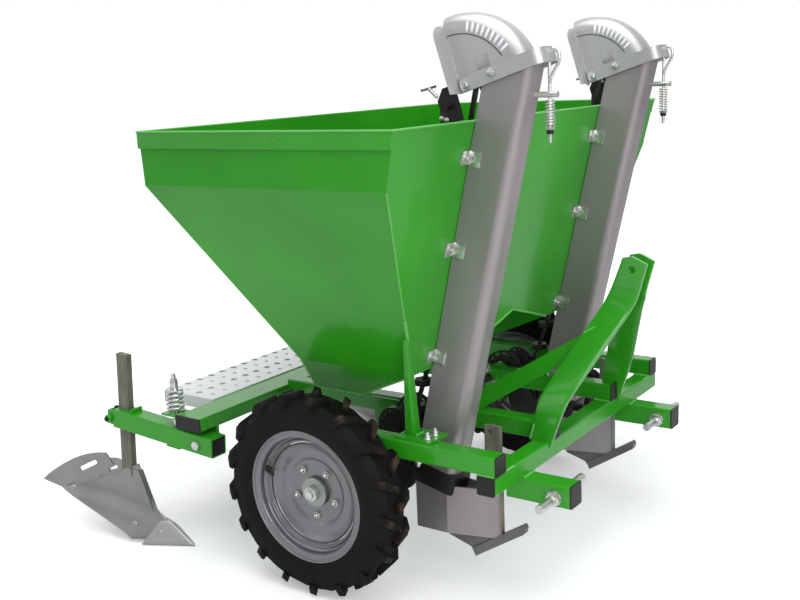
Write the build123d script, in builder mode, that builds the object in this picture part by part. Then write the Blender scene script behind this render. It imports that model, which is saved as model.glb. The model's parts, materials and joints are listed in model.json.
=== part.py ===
"""Two-row potato planter for a small tractor's three-point hitch.

Millimetres, +X forward to the tractor, +Y to the machine's left, +Z up. The floor is z = 0. Lengths along
X are taken from the ground wheels' axle, and every piece is moved at the end so that the machine stands
centred on the origin.
"""
import os
from math import atan, cos, degrees, pi, radians, sin, tan

from build123d import *

os.makedirs("parts", exist_ok=True)

SIDES = (("right", -1), ("left", 1))

# Whole machine: reach from the axle to the mast's nose and to the ridger wings' tips
FRONT_REACH = 704.0
REAR_REACH = 1064.0

# Half widths that the wheels, the rows and the ridgers are set out from
FRAME_HALF_WIDTH = 515.0
TOOLBAR_HALF_WIDTH = 600.0
ROW_Y = FRAME_HALF_WIDTH - 158.0

# Ground wheels
TYRE_OD = 560.0
TYRE_WIDTH = 118.0
TYRE_BEAD_D = 330.0
WHEEL_Y = FRAME_HALF_WIDTH + 68.0
AXLE_Z = TYRE_OD / 2
RIM_OD = 366.0
RIM_WIDTH = 94.0
RIM_SHEET = 4.0
RIM_BARREL_D = 288.0
DISC_RECESS = 52.0
HUB_BOLT_COUNT = 5
HUB_BOLT_CIRCLE = 134.0
HUB_BOLT_D = 14.0
HUB_FLANGE_D = 176.0
HUB_DISC_D = 80.0
SHAFT_D = 30.0
SHAFT_FIT = 0.05
SHAFT_INNER_Y = 172.0
CHAIN_Y = 252.0
WHEEL_SPROCKET_D = 96.0
SPROCKET_THICKNESS = 8.0

# Frame of square tube
BEAM = 50.0
BEAM_WALL = 4.0
BEAM_TOP_Z = 441.0
CROSSBAR_FRONT_X = 513.0
OUTER_BEAM_Y = FRAME_HALF_WIDTH - BEAM / 2
INNER_BEAM_Y = 192.0
OUTER_BEAM_REAR_X = -75.0
CAP = 4.0
CAP_CORNER = 5.0

# Lay shaft through the inner beams, with a sprocket for each drive chain and each cup chain
LAY_X = 111.0
LAY_Z = BEAM_TOP_Z - BEAM / 2
LAY_D = 25.0
LAY_REACH = ROW_Y + 22.0
CHAIN_R = 56.0
ROW_SPROCKET_R = 46.0
FOOT_PULLEY_X = 124.0
FOOT_PULLEY_Z = 285.0
SPROCKET_TEETH = 14
BEARING_D = 62.0
BEARING_T = 12.0

# Rear toolbar and step
TOOLBAR_FRONT_X = -397.0
TOOLBAR_DEPTH = 97.0
TOOLBAR_HEIGHT = 40.0
TOOLBAR_TOP_Z = 424.0
TOOLBAR_WALL = 8.0
STEP_HALF_WIDTH = 450.0
STEP_DEPTH = 208.0
STEP_SHEET = 4.0
STEP_FLANGE = 36.0
STEP_ABOVE = 3.0
STEP_HOLE_PITCH = 52.0
STEP_HOLE_COLUMNS = 17
STEP_HOLE_ROWS = (
    {"behind": 39.0, "d": 12.0, "shift": 5.0},
    {"behind": 91.0, "d": 20.0, "shift": 0.0},
    {"behind": 143.0, "d": 12.0, "shift": 5.0},
    {"behind": 192.0, "d": 20.0, "shift": 0.0},
)

# Lower hitch brackets and pins, top-link mast
LOWER_TUBE = 60.0
LOWER_WALL = 4.0
LOWER_PIN_SPAN = 684.0
LOWER_PIN_D = 22.0
LOWER_PIN_LENGTH = 244.0
LOWER_PIN_X = 604.0
LOWER_TUBE_FRONT_X = 642.0
LOWER_TUBE_REAR_X = 463.0
COLLAR_D = 40.0
COLLAR_T = 12.0
MAST_PLATE = 10.0
MAST_WIDTH = 60.0
MAST_GAP = 52.0
MAST_HOLE_X = 662.0
MAST_HOLE_Z = 831.0
MAST_HOLE_D = 19.5
MAST_TOP_Z = 866.0
MAST_FOOT_X = 484.0
MAST_LOW_BEND_Z = 500.0
MAST_HIGH_BEND_Z = 742.0
BRACE_PLATE = 8.0
BRACE_CUT = 87.0
BRACE_FOOT_X = 244.0

# Hopper of folded sheet
SHEET = 2.0
RIM_Z = 1242.0
RIM_REAR_X = -386.0
RIM_FRONT_X = 416.0
RIM_HALF_WIDTH = 744.0
FOLD_Z = 1106.0
FOLD_HALF_WIDTH = 733.0
RIDGE_Z = 684.0
NECK_Z = 610.0
NECK_REAR_X = -100.0
NECK_HALF_WIDTH = 490.0
POCKET_Z = 512.0
POCKET_REAR_X = -110.0
POCKET_FRONT_X = 50.0
POCKET_HALF_WIDTH = 62.0
POCKET_INNER_Y = ROW_Y - 119.0
LEAN = 13.3
RIM_BEAD = 14.0

# Planting tubes and their heads
TUBE_WIDTH = 86.0
TUBE_DEPTH = 122.0
TUBE_WALL = 2.0
TUBE_CORNER = 24.0
TUBE_FOOT_Z = 292.0
TUBE_TOP_Z = 1304.0
HEAD_X = 384.0
HEAD_Z = 1306.0
HEAD_TILT = 17.0
HOOD_R = 190.0
HOOD_CORNER = 38.0
EAR_WIDTH = 55.0
EAR_HEIGHT = 166.0
EAR_CORNER = 34.0
YOKE_REACH = 230.0
YOKE_HEIGHT = 36.0
YOKE_PLATE = 6.0
YOKE_CORNER = 34.0
ROD_D = 8.0
PEG_D = 14.0
PEG_Z = 1298.0
PEG_REACH = 62.0
ROD_X = 594.0
ROD_LOW_Z = 1187.0
SPRING_OD = 24.0
SPRING_WIRE = 3.5
SPRING_TOP_Z = 1289.0
SPRING_LOW_Z = 1224.0

# Openers below the tubes
BOOT_REAR_X = 200.0
BOOT_SHOULDER_X = 297.0
BOOT_NOSE_X = 440.0
BOOT_TOP_Z = 288.0
BOOT_LOW_Z = 155.0
BOOT_SHEET = 3.0
SHANK_WIDTH = 45.0
SHANK_THICKNESS = 14.0
SHANK_TOP_Z = 463.0
SHANK_HOLE_D = 12.0
SHARE_TIP_X = 363.0
SHARE_TIP_Z = 91.0
SHARE_NOSE_X = 512.0
SHARE_NOSE_Z = 194.0
SHARE_BAR = 22.0
SHARE_WIDTH = 24.0

# Ridgers behind the wheels
RIDGER_Y = TOOLBAR_HALF_WIDTH - 30.0
ARM = 58.0
ARM_WALL = 4.0
ARM_AHEAD = 57.0
ARM_BEHIND = 356.0
PIVOT_X = -419.0
PIVOT_Z = 344.0
PIVOT_D = 16.0
RIDGER_PITCH = 4.0
RIDGER_SHANK_BEHIND = 327.0
RIDGER_SHANK_WIDTH = 45.0
RIDGER_SHANK_THICKNESS = 20.0
RIDGER_SHANK_UP = 205.0
RIDGER_SHANK_DOWN = 190.0
CLAMP_REACH = 28.0
CLAMP_STRAP = 6.0
LUG_TOP_Z = 420.0
LUG_PLATE = 6.0
LUG_REACH = 62.0
LUG_WIDTH = 60.0
SPRING_BOLT_X = -524.0
SPRING_BOLT_D = 14.0
SPRING_BOLT_TOP_Z = 535.0
RIDGER_SPRING_OD = 55.0
RIDGER_SPRING_WIRE = 7.0
RIDGER_SPRING_TOP_Z = 487.0


def save(piece, name):
    """Centre a finished piece's place on the machine's origin, name it and write its file."""
    shifted = Pos((REAR_REACH - FRONT_REACH) / 2, 0, 0) * piece.part
    shifted.label = name
    export_step(shifted, f"parts/{name}.step")


def wall_x(z):
    """Where the hopper's leaning front sheet stands at height z."""
    return RIM_FRONT_X - tan(radians(LEAN)) * (RIM_Z - z)


def square_tube(x0, x1, y, z_top, size, wall):
    """A square tube along X with its wall thickness, centred on y, its top at z_top."""
    with BuildPart(mode=Mode.PRIVATE) as piece:
        with BuildSketch(Plane.YZ.offset(x0)):
            with Locations((y, z_top - size / 2)):
                RectangleRounded(size, size, CAP_CORNER)
                RectangleRounded(size - 2 * wall, size - 2 * wall, CAP_CORNER - 2, mode=Mode.SUBTRACT)
        extrude(amount=x1 - x0)
    return piece.part


def toothed_line(x, z, radius):
    """A sprocket's outline round a centre: a tooth tip and a root by turns."""
    tip = 0.98 * radius
    steps = [(pi * index / SPROCKET_TEETH, tip - 7 * (index % 2)) for index in range(2 * SPROCKET_TEETH)]
    return [(x + reach * cos(turn), z + reach * sin(turn)) for turn, reach in steps]


def slab(plane, points, half):
    """A flat plate of a given outline, half its thickness to each side of its plane."""
    with BuildPart(mode=Mode.PRIVATE) as piece:
        with BuildSketch(plane):
            with BuildLine():
                Polyline(*points, close=True)
            make_face()
        extrude(amount=half, both=True)
    return piece.part


def coil(radius, wire, height, turns, place):
    """An open coil spring standing along its place's Z axis."""
    with BuildPart(mode=Mode.PRIVATE) as piece:
        with BuildLine(Plane(origin=place)) as path:
            Helix(pitch=height / turns, height=height, radius=radius)
        with BuildSketch(Plane(origin=path.line @ 0, z_dir=path.line % 0)):
            Circle(wire / 2)
        sweep(is_frenet=True)
    return piece.part


# Cross bar that carries the beams, and the four beams on top of it
BEAM_LOW_Z = BEAM_TOP_Z - BEAM
CROSSBAR_REAR_X = CROSSBAR_FRONT_X - BEAM

with BuildPart() as crossbar:
    with BuildSketch(Plane.XZ.offset(-FRAME_HALF_WIDTH)):
        with Locations((CROSSBAR_FRONT_X - BEAM / 2, BEAM_LOW_Z - BEAM / 2)):
            RectangleRounded(BEAM, BEAM, CAP_CORNER)
            RectangleRounded(BEAM - 2 * BEAM_WALL, BEAM - 2 * BEAM_WALL, CAP_CORNER - 2, mode=Mode.SUBTRACT)
    extrude(amount=2 * FRAME_HALF_WIDTH)
save(crossbar, "crossbar")

with BuildPart() as outer_beams:
    for _, side in SIDES:
        add(square_tube(OUTER_BEAM_REAR_X, CROSSBAR_FRONT_X, side * OUTER_BEAM_Y, BEAM_TOP_Z, BEAM, BEAM_WALL))
save(outer_beams, "outer_beams")

with BuildPart() as inner_beams:
    for _, side in SIDES:
        add(square_tube(TOOLBAR_FRONT_X, CROSSBAR_FRONT_X, side * INNER_BEAM_Y, BEAM_TOP_Z, BEAM, BEAM_WALL))
    with BuildSketch(Plane.XZ):
        with Locations((LAY_X, LAY_Z)):
            Circle(LAY_D / 2 + 2)
    extrude(amount=FRAME_HALF_WIDTH, both=True, mode=Mode.SUBTRACT)
save(inner_beams, "inner_beams")

# Rear toolbar across the inner beams' ends, with a hanger for each ridger arm
TOOLBAR_REAR_X = TOOLBAR_FRONT_X - TOOLBAR_DEPTH
TOOLBAR_LOW_Z = TOOLBAR_TOP_Z - TOOLBAR_HEIGHT
HANGER_PLATE = 10.0
HANGER_Y = RIDGER_Y - ARM / 2 - 5 - HANGER_PLATE / 2

with BuildPart() as rear_toolbar:
    with BuildSketch(Plane.XZ.offset(-TOOLBAR_HALF_WIDTH)):
        with Locations((TOOLBAR_FRONT_X - TOOLBAR_DEPTH / 2, TOOLBAR_TOP_Z - TOOLBAR_HEIGHT / 2)):
            RectangleRounded(TOOLBAR_DEPTH, TOOLBAR_HEIGHT, CAP_CORNER)
            RectangleRounded(TOOLBAR_DEPTH - 2 * TOOLBAR_WALL, TOOLBAR_HEIGHT - 2 * TOOLBAR_WALL, CAP_CORNER - 2,
                             mode=Mode.SUBTRACT)
    extrude(amount=2 * TOOLBAR_HALF_WIDTH)
    for _, side in SIDES:
        with BuildSketch(Plane.XZ.offset(-side * HANGER_Y)):
            with BuildLine():
                Polyline((PIVOT_X - 42, TOOLBAR_LOW_Z + 1), (PIVOT_X - 24, PIVOT_Z - 24),
                         (PIVOT_X + 20, PIVOT_Z - 24), (PIVOT_X + 20, TOOLBAR_LOW_Z + 1), close=True)
            make_face()
            with Locations((PIVOT_X, PIVOT_Z)):
                Circle(PIVOT_D / 2 + 0.05, mode=Mode.SUBTRACT)
        extrude(amount=HANGER_PLATE / 2, both=True)
        with BuildSketch(Plane.XY.offset(LUG_TOP_Z - LUG_PLATE)):
            with Locations((TOOLBAR_REAR_X - LUG_REACH / 2 + 1, side * RIDGER_Y)):
                Rectangle(LUG_REACH, LUG_WIDTH)
            with Locations((SPRING_BOLT_X - 5, side * RIDGER_Y)):
                SlotOverall(34, 18, mode=Mode.SUBTRACT)
        extrude(amount=LUG_PLATE)
save(rear_toolbar, "rear_toolbar")

STEP_TOP_Z = TOOLBAR_TOP_Z + STEP_ABOVE
with BuildPart() as step_plate:
    with BuildSketch(Plane.XY.offset(STEP_TOP_Z - STEP_FLANGE)):
        with Locations((TOOLBAR_REAR_X - STEP_DEPTH / 2, 0)):
            Rectangle(STEP_DEPTH, 2 * STEP_HALF_WIDTH)
    extrude(amount=STEP_FLANGE)
    with BuildSketch(Plane.XY.offset(STEP_TOP_Z - STEP_FLANGE)):
        with Locations((TOOLBAR_REAR_X - STEP_DEPTH / 2, 0)):
            Rectangle(STEP_DEPTH - 2 * STEP_SHEET, 2 * (STEP_HALF_WIDTH - STEP_SHEET))
    extrude(amount=STEP_FLANGE - STEP_SHEET, mode=Mode.SUBTRACT)
    with BuildSketch(Plane.XY.offset(STEP_TOP_Z)):
        for row in STEP_HOLE_ROWS:
            with Locations((TOOLBAR_REAR_X - row["behind"], row["shift"])):
                with GridLocations(0, STEP_HOLE_PITCH, 1, STEP_HOLE_COLUMNS):
                    Circle(row["d"] / 2)
    extrude(amount=-2 * STEP_SHEET, mode=Mode.SUBTRACT)
save(step_plate, "step_plate")

# Black plastic caps in the open tube ends
with BuildPart() as frame_caps:
    for _, side in SIDES:
        for y in (side * OUTER_BEAM_Y, side * INNER_BEAM_Y):
            with BuildSketch(Plane.YZ.offset(CROSSBAR_FRONT_X)):
                with Locations((y, BEAM_TOP_Z - BEAM / 2)):
                    RectangleRounded(BEAM, BEAM, CAP_CORNER)
            extrude(amount=CAP)
        with BuildSketch(Plane.YZ.offset(OUTER_BEAM_REAR_X - CAP)):
            with Locations((side * OUTER_BEAM_Y, BEAM_TOP_Z - BEAM / 2)):
                RectangleRounded(BEAM, BEAM, CAP_CORNER)
        extrude(amount=CAP)
        with BuildSketch(Plane.YZ.offset(LOWER_TUBE_FRONT_X)):
            with Locations((side * LOWER_PIN_SPAN / 2, BEAM_LOW_Z - BEAM - LOWER_TUBE / 2)):
                RectangleRounded(LOWER_TUBE, LOWER_TUBE, CAP_CORNER)
        extrude(amount=CAP)
        with BuildSketch(Plane.XZ.offset(-side * (FRAME_HALF_WIDTH + CAP / 2))):
            with Locations((CROSSBAR_FRONT_X - BEAM / 2, BEAM_LOW_Z - BEAM / 2)):
                RectangleRounded(BEAM, BEAM, CAP_CORNER)
        extrude(amount=CAP / 2, both=True)
        with BuildSketch(Plane.XZ.offset(-side * (TOOLBAR_HALF_WIDTH + CAP / 2))):
            with Locations((TOOLBAR_FRONT_X - TOOLBAR_DEPTH / 2, TOOLBAR_TOP_Z - TOOLBAR_HEIGHT / 2)):
                RectangleRounded(TOOLBAR_DEPTH, TOOLBAR_HEIGHT, CAP_CORNER)
        extrude(amount=CAP / 2, both=True)
save(frame_caps, "frame_caps")

# Lower hitch brackets under the cross bar, and the pins through them
LOWER_TUBE_TOP_Z = BEAM_LOW_Z - BEAM
LOWER_PIN_Z = LOWER_TUBE_TOP_Z - LOWER_TUBE / 2 - 2
LOWER_Y = LOWER_PIN_SPAN / 2

with BuildPart() as lower_hitch_brackets:
    for _, side in SIDES:
        add(square_tube(LOWER_TUBE_REAR_X, LOWER_TUBE_FRONT_X, side * LOWER_Y, LOWER_TUBE_TOP_Z, LOWER_TUBE, LOWER_WALL))
        with BuildSketch(Plane.XZ.offset(-side * LOWER_Y)):
            with Locations((LOWER_PIN_X, LOWER_PIN_Z)):
                Circle(LOWER_PIN_D / 2 + 0.05)
        extrude(amount=LOWER_TUBE, both=True, mode=Mode.SUBTRACT)
save(lower_hitch_brackets, "lower_hitch_brackets")

with BuildPart() as hitch_pins:
    for _, side in SIDES:
        with BuildSketch(Plane.XZ.offset(-side * LOWER_Y)):
            with Locations((LOWER_PIN_X, LOWER_PIN_Z)):
                Circle(LOWER_PIN_D / 2)
        extrude(amount=LOWER_PIN_LENGTH / 2, both=True)
        for end in (-1, 1):
            with BuildSketch(Plane.XZ.offset(-side * LOWER_Y - end * (LOWER_TUBE / 2 + COLLAR_T / 2))):
                with Locations((LOWER_PIN_X, LOWER_PIN_Z)):
                    Circle(COLLAR_D / 2)
            extrude(amount=COLLAR_T / 2, both=True)
save(hitch_pins, "hitch_pins")

# Mast of two bent flat bars: the outline from the side, cut to the bend seen from the front
MAST_SIDE = ((457, BEAM_LOW_Z), (480, 500), (591, 738), (636, 861), (661, MAST_TOP_Z), (704, 847),
             (676, 748), (561, 500), (512, BEAM_LOW_Z))
MAST_LEG_Y = INNER_BEAM_Y + BEAM / 2
MAST_BEND = ((MAST_GAP / 2, MAST_TOP_Z + 1), (MAST_GAP / 2, MAST_HIGH_BEND_Z),
             (MAST_LEG_Y, MAST_LOW_BEND_Z), (MAST_LEG_Y, BEAM_LOW_Z - 1),
             (MAST_LEG_Y + MAST_PLATE, BEAM_LOW_Z - 1), (MAST_LEG_Y + MAST_PLATE, MAST_LOW_BEND_Z + 3),
             (MAST_GAP / 2 + MAST_PLATE, MAST_HIGH_BEND_Z + 3), (MAST_GAP / 2 + MAST_PLATE, MAST_TOP_Z + 1))

with BuildPart() as mast_leg:
    with BuildSketch(Plane.XZ):
        with BuildLine():
            Polyline(*MAST_SIDE, close=True)
        make_face()
        with Locations((MAST_HOLE_X, MAST_HOLE_Z)):
            Circle(MAST_HOLE_D / 2, mode=Mode.SUBTRACT)
    extrude(amount=-400)
    with BuildSketch(Plane.YZ.offset(400)):
        with BuildLine():
            Polyline(*MAST_BEND, close=True)
        make_face()
    extrude(amount=400, mode=Mode.INTERSECT)

with BuildPart() as mast_legs:
    add(mast_leg.part)
    mirror(about=Plane.XZ)
save(mast_legs, "mast_legs")

# Braces from the mast down to the inner beams
BRACE_TOP_X = 607.0
BRACE_TOP_Z = 668.0
BRACE_TOP_Y = 88.0
BRACE_RISE = BRACE_TOP_Z - BEAM_TOP_Z

with BuildPart() as mast_braces:
    for _, side in SIDES:
        with BuildSketch(Plane.XY.offset(BEAM_TOP_Z)):
            with Locations((BRACE_FOOT_X, side * INNER_BEAM_Y)):
                Rectangle(BRACE_CUT, BRACE_PLATE)
        with BuildSketch(Plane.XY.offset(BRACE_TOP_Z)):
            with Locations((BRACE_TOP_X, side * BRACE_TOP_Y)):
                Rectangle(BRACE_CUT, BRACE_PLATE)
        loft(ruled=True)
    add(mast_legs.part, mode=Mode.SUBTRACT)
    split(bisect_by=Plane(origin=(BRACE_TOP_X - 22, 0, BRACE_TOP_Z), z_dir=(1, 0, 0)), keep=Keep.BOTTOM)
save(mast_braces, "mast_braces")

# Plates that hang the axle shafts from the outer and the inner beams
HANGERS = (
    {"y": OUTER_BEAM_Y - BEAM / 2 - 5, "half": 5.0},
    {"y": INNER_BEAM_Y + BEAM / 2 + 5, "half": 5.0},
)
with BuildPart() as axle_hangers:
    for _, side in SIDES:
        for hanger in HANGERS:
            with BuildSketch(Plane.XZ.offset(-side * hanger["y"])):
                with BuildLine():
                    Polyline((-62, BEAM_TOP_Z - 4), (-40, AXLE_Z - 20), (-22, AXLE_Z - 40), (22, AXLE_Z - 40),
                             (40, AXLE_Z - 20), (62, BEAM_TOP_Z - 4), close=True)
                make_face()
                with Locations((0, AXLE_Z)):
                    Circle(SHAFT_D / 2 + SHAFT_FIT, mode=Mode.SUBTRACT)
            extrude(amount=hanger["half"], both=True)
            with BuildSketch(Plane.XZ.offset(-side * hanger["y"])):
                with Locations((0, AXLE_Z)):
                    Circle(SHAFT_D / 2 + 12)
                    Circle(SHAFT_D / 2 + SHAFT_FIT, mode=Mode.SUBTRACT)
            extrude(amount=hanger["half"] + 8, both=True)
save(axle_hangers, "axle_hangers")

# Ground wheels: tyre, rim, and the hub with its stub shaft and sprocket
TYRE_R = TYRE_OD / 2
TYRE_SIDES = 34
TYRE_SECTIONS = (
    {"across": -57, "r": 215}, {"across": -53, "r": 245}, {"across": -34, "r": 262},
    {"across": 34, "r": 262}, {"across": 53, "r": 245}, {"across": 57, "r": 215},
)
TYRE_BORE = ((0, -58), (207, -58), (184, -48), (183.2, -42.9), (163.2, -39.9),
             (163.2, 39.9), (183.2, 42.9), (184, 48), (207, 58), (0, 58))
LUG_COUNT = 17
LUG_FOOT = 240.0
LUG_SECTIONS = (
    {"across": -4, "front": 5, "back": -13},
    {"across": 42, "front": -20, "back": -42},
    {"across": 59, "front": -30, "back": -52},
)
RIM_LINE = ((183, 47), (183, 43), (163, 40), (163, 22), (146, 12), (146, -12), (163, -22), (163, -40),
            (183, -43), (183, -47))
DISC_OUTLINE = ((144, 12), (144, 4), (122, -6), (100, -6), (90, -14), (40, -14), (40, -10), (88, -10),
                (98, -2), (120, -2), (140, 8), (140, 12))

# One lug of each hand at the top of a wheel: a slanted bar that runs down over the shoulder
lugs = {}
for hand in (-1, 1):
    with BuildPart() as lug:
        for row in LUG_SECTIONS:
            top = (TYRE_R ** 2 - row["back"] ** 2) ** 0.5 if row["across"] < 50 else 252
            with BuildSketch(Plane.XZ.offset(-hand * row["across"])):
                with BuildLine():
                    Polyline((row["back"], LUG_FOOT), (row["front"], LUG_FOOT), (row["front"], top),
                             (row["back"], top), close=True)
                make_face()
        loft(ruled=True)
    lugs[hand] = lug

for name, side in SIDES:
    wheel = Plane(origin=(0, side * WHEEL_Y, AXLE_Z), x_dir=(1, 0, 0), z_dir=(0, side, 0))
    profile = Plane(origin=(0, side * WHEEL_Y, AXLE_Z), x_dir=(1, 0, 0), z_dir=(0, 0, side))
    spin = Axis((0, side * WHEEL_Y, AXLE_Z), (0, 1, 0))
    with BuildPart() as tyre:
        for row in TYRE_SECTIONS:
            with BuildSketch(wheel.offset(row["across"])):
                RegularPolygon(row["r"] / cos(pi / TYRE_SIDES), TYRE_SIDES)
        loft(ruled=True)
        add([Pos(0, side * WHEEL_Y, AXLE_Z) * Rot(0, 360 / LUG_COUNT * (index + hand / 4), 0) * lugs[hand].part
             for index in range(LUG_COUNT) for hand in (-1, 1)])
        with BuildSketch(profile):
            with BuildLine():
                Polyline(*TYRE_BORE, close=True)
            make_face()
        revolve(axis=spin, mode=Mode.SUBTRACT)
    save(tyre, f"tyre_{name}")

    with BuildPart() as rim:
        with BuildSketch(profile):
            with BuildLine():
                Polyline(*RIM_LINE)
                offset(amount=RIM_SHEET - 1, side=Side.RIGHT, kind=Kind.INTERSECTION)
            make_face()
        revolve(axis=spin)
        with BuildSketch(profile):
            with BuildLine():
                Polyline(*DISC_OUTLINE, close=True)
            make_face()
        revolve(axis=spin)
    save(rim, f"rim_{name}")

    with BuildPart() as hub:
        with BuildSketch(wheel.offset(-14)):
            Circle(HUB_FLANGE_D / 2)
            with PolarLocations(HUB_BOLT_CIRCLE / 2, HUB_BOLT_COUNT, start_angle=18):
                Circle(HUB_BOLT_D / 2, mode=Mode.SUBTRACT)
        extrude(amount=-8)
        with BuildSketch(wheel.offset(-22)):
            Circle(36)
        extrude(amount=-38)
        with BuildSketch(wheel.offset(-14)):
            Circle(39)
        extrude(amount=16)
        with BuildSketch(wheel.offset(2)):
            Circle(HUB_DISC_D / 2)
        extrude(amount=5)
        with BuildSketch(wheel.offset(7)):
            RegularPolygon(15, 6)
        extrude(amount=10)
        with BuildSketch(wheel.offset(SHAFT_INNER_Y - WHEEL_Y)):
            Circle(SHAFT_D / 2)
        extrude(amount=WHEEL_Y - SHAFT_INNER_Y - 30)
        with BuildSketch(wheel.offset(CHAIN_Y - WHEEL_Y - SPROCKET_THICKNESS / 2)):
            Circle(WHEEL_SPROCKET_D / 2)
        extrude(amount=SPROCKET_THICKNESS)
        with BuildSketch(wheel.offset(CHAIN_Y - WHEEL_Y)):
            Circle(24)
        extrude(amount=22)
    save(hub, f"wheel_hub_{name}")

# Hopper of folded sheet: an outer form less the same form one sheet further in
LEAN_SLOPE = tan(radians(LEAN))
JOGGLE_Z = 1200.0
FLOOR = 3.0
SLOT_X = 215.0
SLOT_LENGTH = 90.0
SLOT_WIDTH = 72.0
SLOT_LOW_Z = 540.0
SLOT_HEIGHT = 66.0


def hopper_form(inset, top, low_lift):
    """The hopper's solid form, its walls moved in by inset and its floors lifted."""
    def ring(z, rear, front, y0, y1):
        with Locations(((rear + front) / 2, (y0 + y1) / 2)):
            Rectangle(front - rear - 2 * inset, y1 - y0 - 2 * inset)

    bands = (
        {"z": JOGGLE_Z + low_lift, "rear": RIM_REAR_X + 3, "half": RIM_HALF_WIDTH - 6},
        {"z": FOLD_Z, "rear": RIM_REAR_X + 3, "half": FOLD_HALF_WIDTH},
        {"z": NECK_Z, "rear": NECK_REAR_X, "half": NECK_HALF_WIDTH},
    )
    with BuildPart(mode=Mode.PRIVATE) as form:
        for upper, lower in zip(bands, bands[1:]):
            for row in (upper, lower):
                with BuildSketch(Plane.XY.offset(row["z"])):
                    ring(row["z"], row["rear"], wall_x(row["z"]), -row["half"], row["half"])
            loft(ruled=True)
        for z in (JOGGLE_Z + low_lift, top):
            with BuildSketch(Plane.XY.offset(z)):
                ring(z, RIM_REAR_X, wall_x(z), -RIM_HALF_WIDTH, RIM_HALF_WIDTH)
        loft(ruled=True)
        lift = low_lift * 1.2
        with BuildSketch(Plane.YZ.offset(-500)):
            with BuildLine():
                Polyline((-POCKET_INNER_Y - inset, NECK_Z + lift), (0, RIDGE_Z + lift),
                         (POCKET_INNER_Y + inset, NECK_Z + lift), (POCKET_INNER_Y + inset, NECK_Z - 30),
                         (-POCKET_INNER_Y - inset, NECK_Z - 30), close=True)
            make_face()
        extrude(amount=1000, mode=Mode.SUBTRACT)
        for _, side in SIDES:
            with BuildSketch(Plane.XY.offset(NECK_Z)):
                ring(NECK_Z, NECK_REAR_X, wall_x(NECK_Z), *sorted((side * POCKET_INNER_Y, side * NECK_HALF_WIDTH)))
            with BuildSketch(Plane.XY.offset(POCKET_Z + low_lift)):
                ring(POCKET_Z, POCKET_REAR_X, POCKET_FRONT_X,
                     *sorted((side * (ROW_Y - POCKET_HALF_WIDTH), side * (ROW_Y + POCKET_HALF_WIDTH))))
            loft(ruled=True)
    return form.part


with BuildPart() as hopper:
    add(hopper_form(0.0, RIM_Z, 0.0))
    add(hopper_form(SHEET, RIM_Z + 20, FLOOR), mode=Mode.SUBTRACT)
    for _, side in SIDES:
        with BuildSketch(Plane.XY.offset(SLOT_LOW_Z)):
            with Locations((SLOT_X, side * ROW_Y)):
                Rectangle(SLOT_LENGTH, SLOT_WIDTH)
        extrude(amount=SLOT_HEIGHT, mode=Mode.SUBTRACT)
save(hopper, "hopper")

# Struts that carry the hopper's sides on the outer beams
STRUT_Y = OUTER_BEAM_Y - 26
STRUT_TOP_Z = 724.0
STRUT_FOOT_X = 242.0
STRUT_TOP_X = 291.0
STRUT_TOP_OUT = 82.0
STRUT_PAD = {"x": 269.0, "length": 112.0, "width": 84.0, "t": 6.0}
with BuildPart() as hopper_struts:
    for _, side in SIDES:
        with BuildSketch(Plane.XY.offset(BEAM_TOP_Z)):
            with Locations((STRUT_PAD["x"], side * STRUT_Y)):
                Rectangle(STRUT_PAD["length"], STRUT_PAD["width"])
        extrude(amount=STRUT_PAD["t"])
        with BuildSketch(Plane.XY.offset(BEAM_TOP_Z + STRUT_PAD["t"])):
            with Locations((STRUT_FOOT_X, side * STRUT_Y)):
                RectangleRounded(34, 34, 10)
        with BuildSketch(Plane.XY.offset(STRUT_TOP_Z)):
            with Locations((STRUT_TOP_X, side * (STRUT_Y + STRUT_TOP_OUT))):
                RectangleRounded(12, 20, 4)
        loft(ruled=True)
    add(hopper_form(0.0, RIM_Z, 0.0), mode=Mode.SUBTRACT)
save(hopper_struts, "hopper_struts")

# Planting tubes against the hopper's leaning front
LEAN_WAY = (sin(radians(LEAN)), 0, cos(radians(LEAN)))
HEAD_WAY = (cos(radians(HEAD_TILT)), 0, sin(radians(HEAD_TILT)))
HEAD_UP = (-sin(radians(HEAD_TILT)), 0, cos(radians(HEAD_TILT)))
TUBE_GAP = 2.0
TUBE_NOTCH_Z = 1258.0
TUBE_REAR_X = wall_x(TUBE_FOOT_Z) + TUBE_GAP

with BuildPart() as planting_tubes:
    for _, side in SIDES:
        for shrink, how in ((0.0, Mode.ADD), (TUBE_WALL, Mode.SUBTRACT)):
            with BuildSketch(Plane.XY.offset(TUBE_FOOT_Z)) as section:
                with Locations((TUBE_REAR_X + TUBE_DEPTH / 2, side * ROW_Y)):
                    Rectangle(TUBE_DEPTH - 2 * shrink, TUBE_WIDTH - 2 * shrink)
                fillet(section.vertices().sort_by(Axis.X)[-2:], radius=TUBE_CORNER - shrink)
            extrude(amount=(TUBE_TOP_Z + 90 - TUBE_FOOT_Z) / LEAN_WAY[2], dir=LEAN_WAY, mode=how)
        with BuildSketch(Plane.XY.offset(TUBE_NOTCH_Z)):
            with Locations((wall_x(TUBE_NOTCH_Z), side * ROW_Y)):
                Rectangle(70, 64)
        extrude(amount=120, mode=Mode.SUBTRACT)
    split(bisect_by=Plane(origin=(HEAD_X, 0, HEAD_Z), x_dir=HEAD_WAY, z_dir=HEAD_UP), keep=Keep.BOTTOM)
save(planting_tubes, "planting_tubes")


def head_point(u, v):
    """A point of the heads' side view, u forward along the strap and v up from it."""
    return (HEAD_X + u * HEAD_WAY[0] + v * HEAD_UP[0], HEAD_Z + u * HEAD_WAY[2] + v * HEAD_UP[2])


HEAD_HALF = TUBE_WIDTH / 2 + 3


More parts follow.
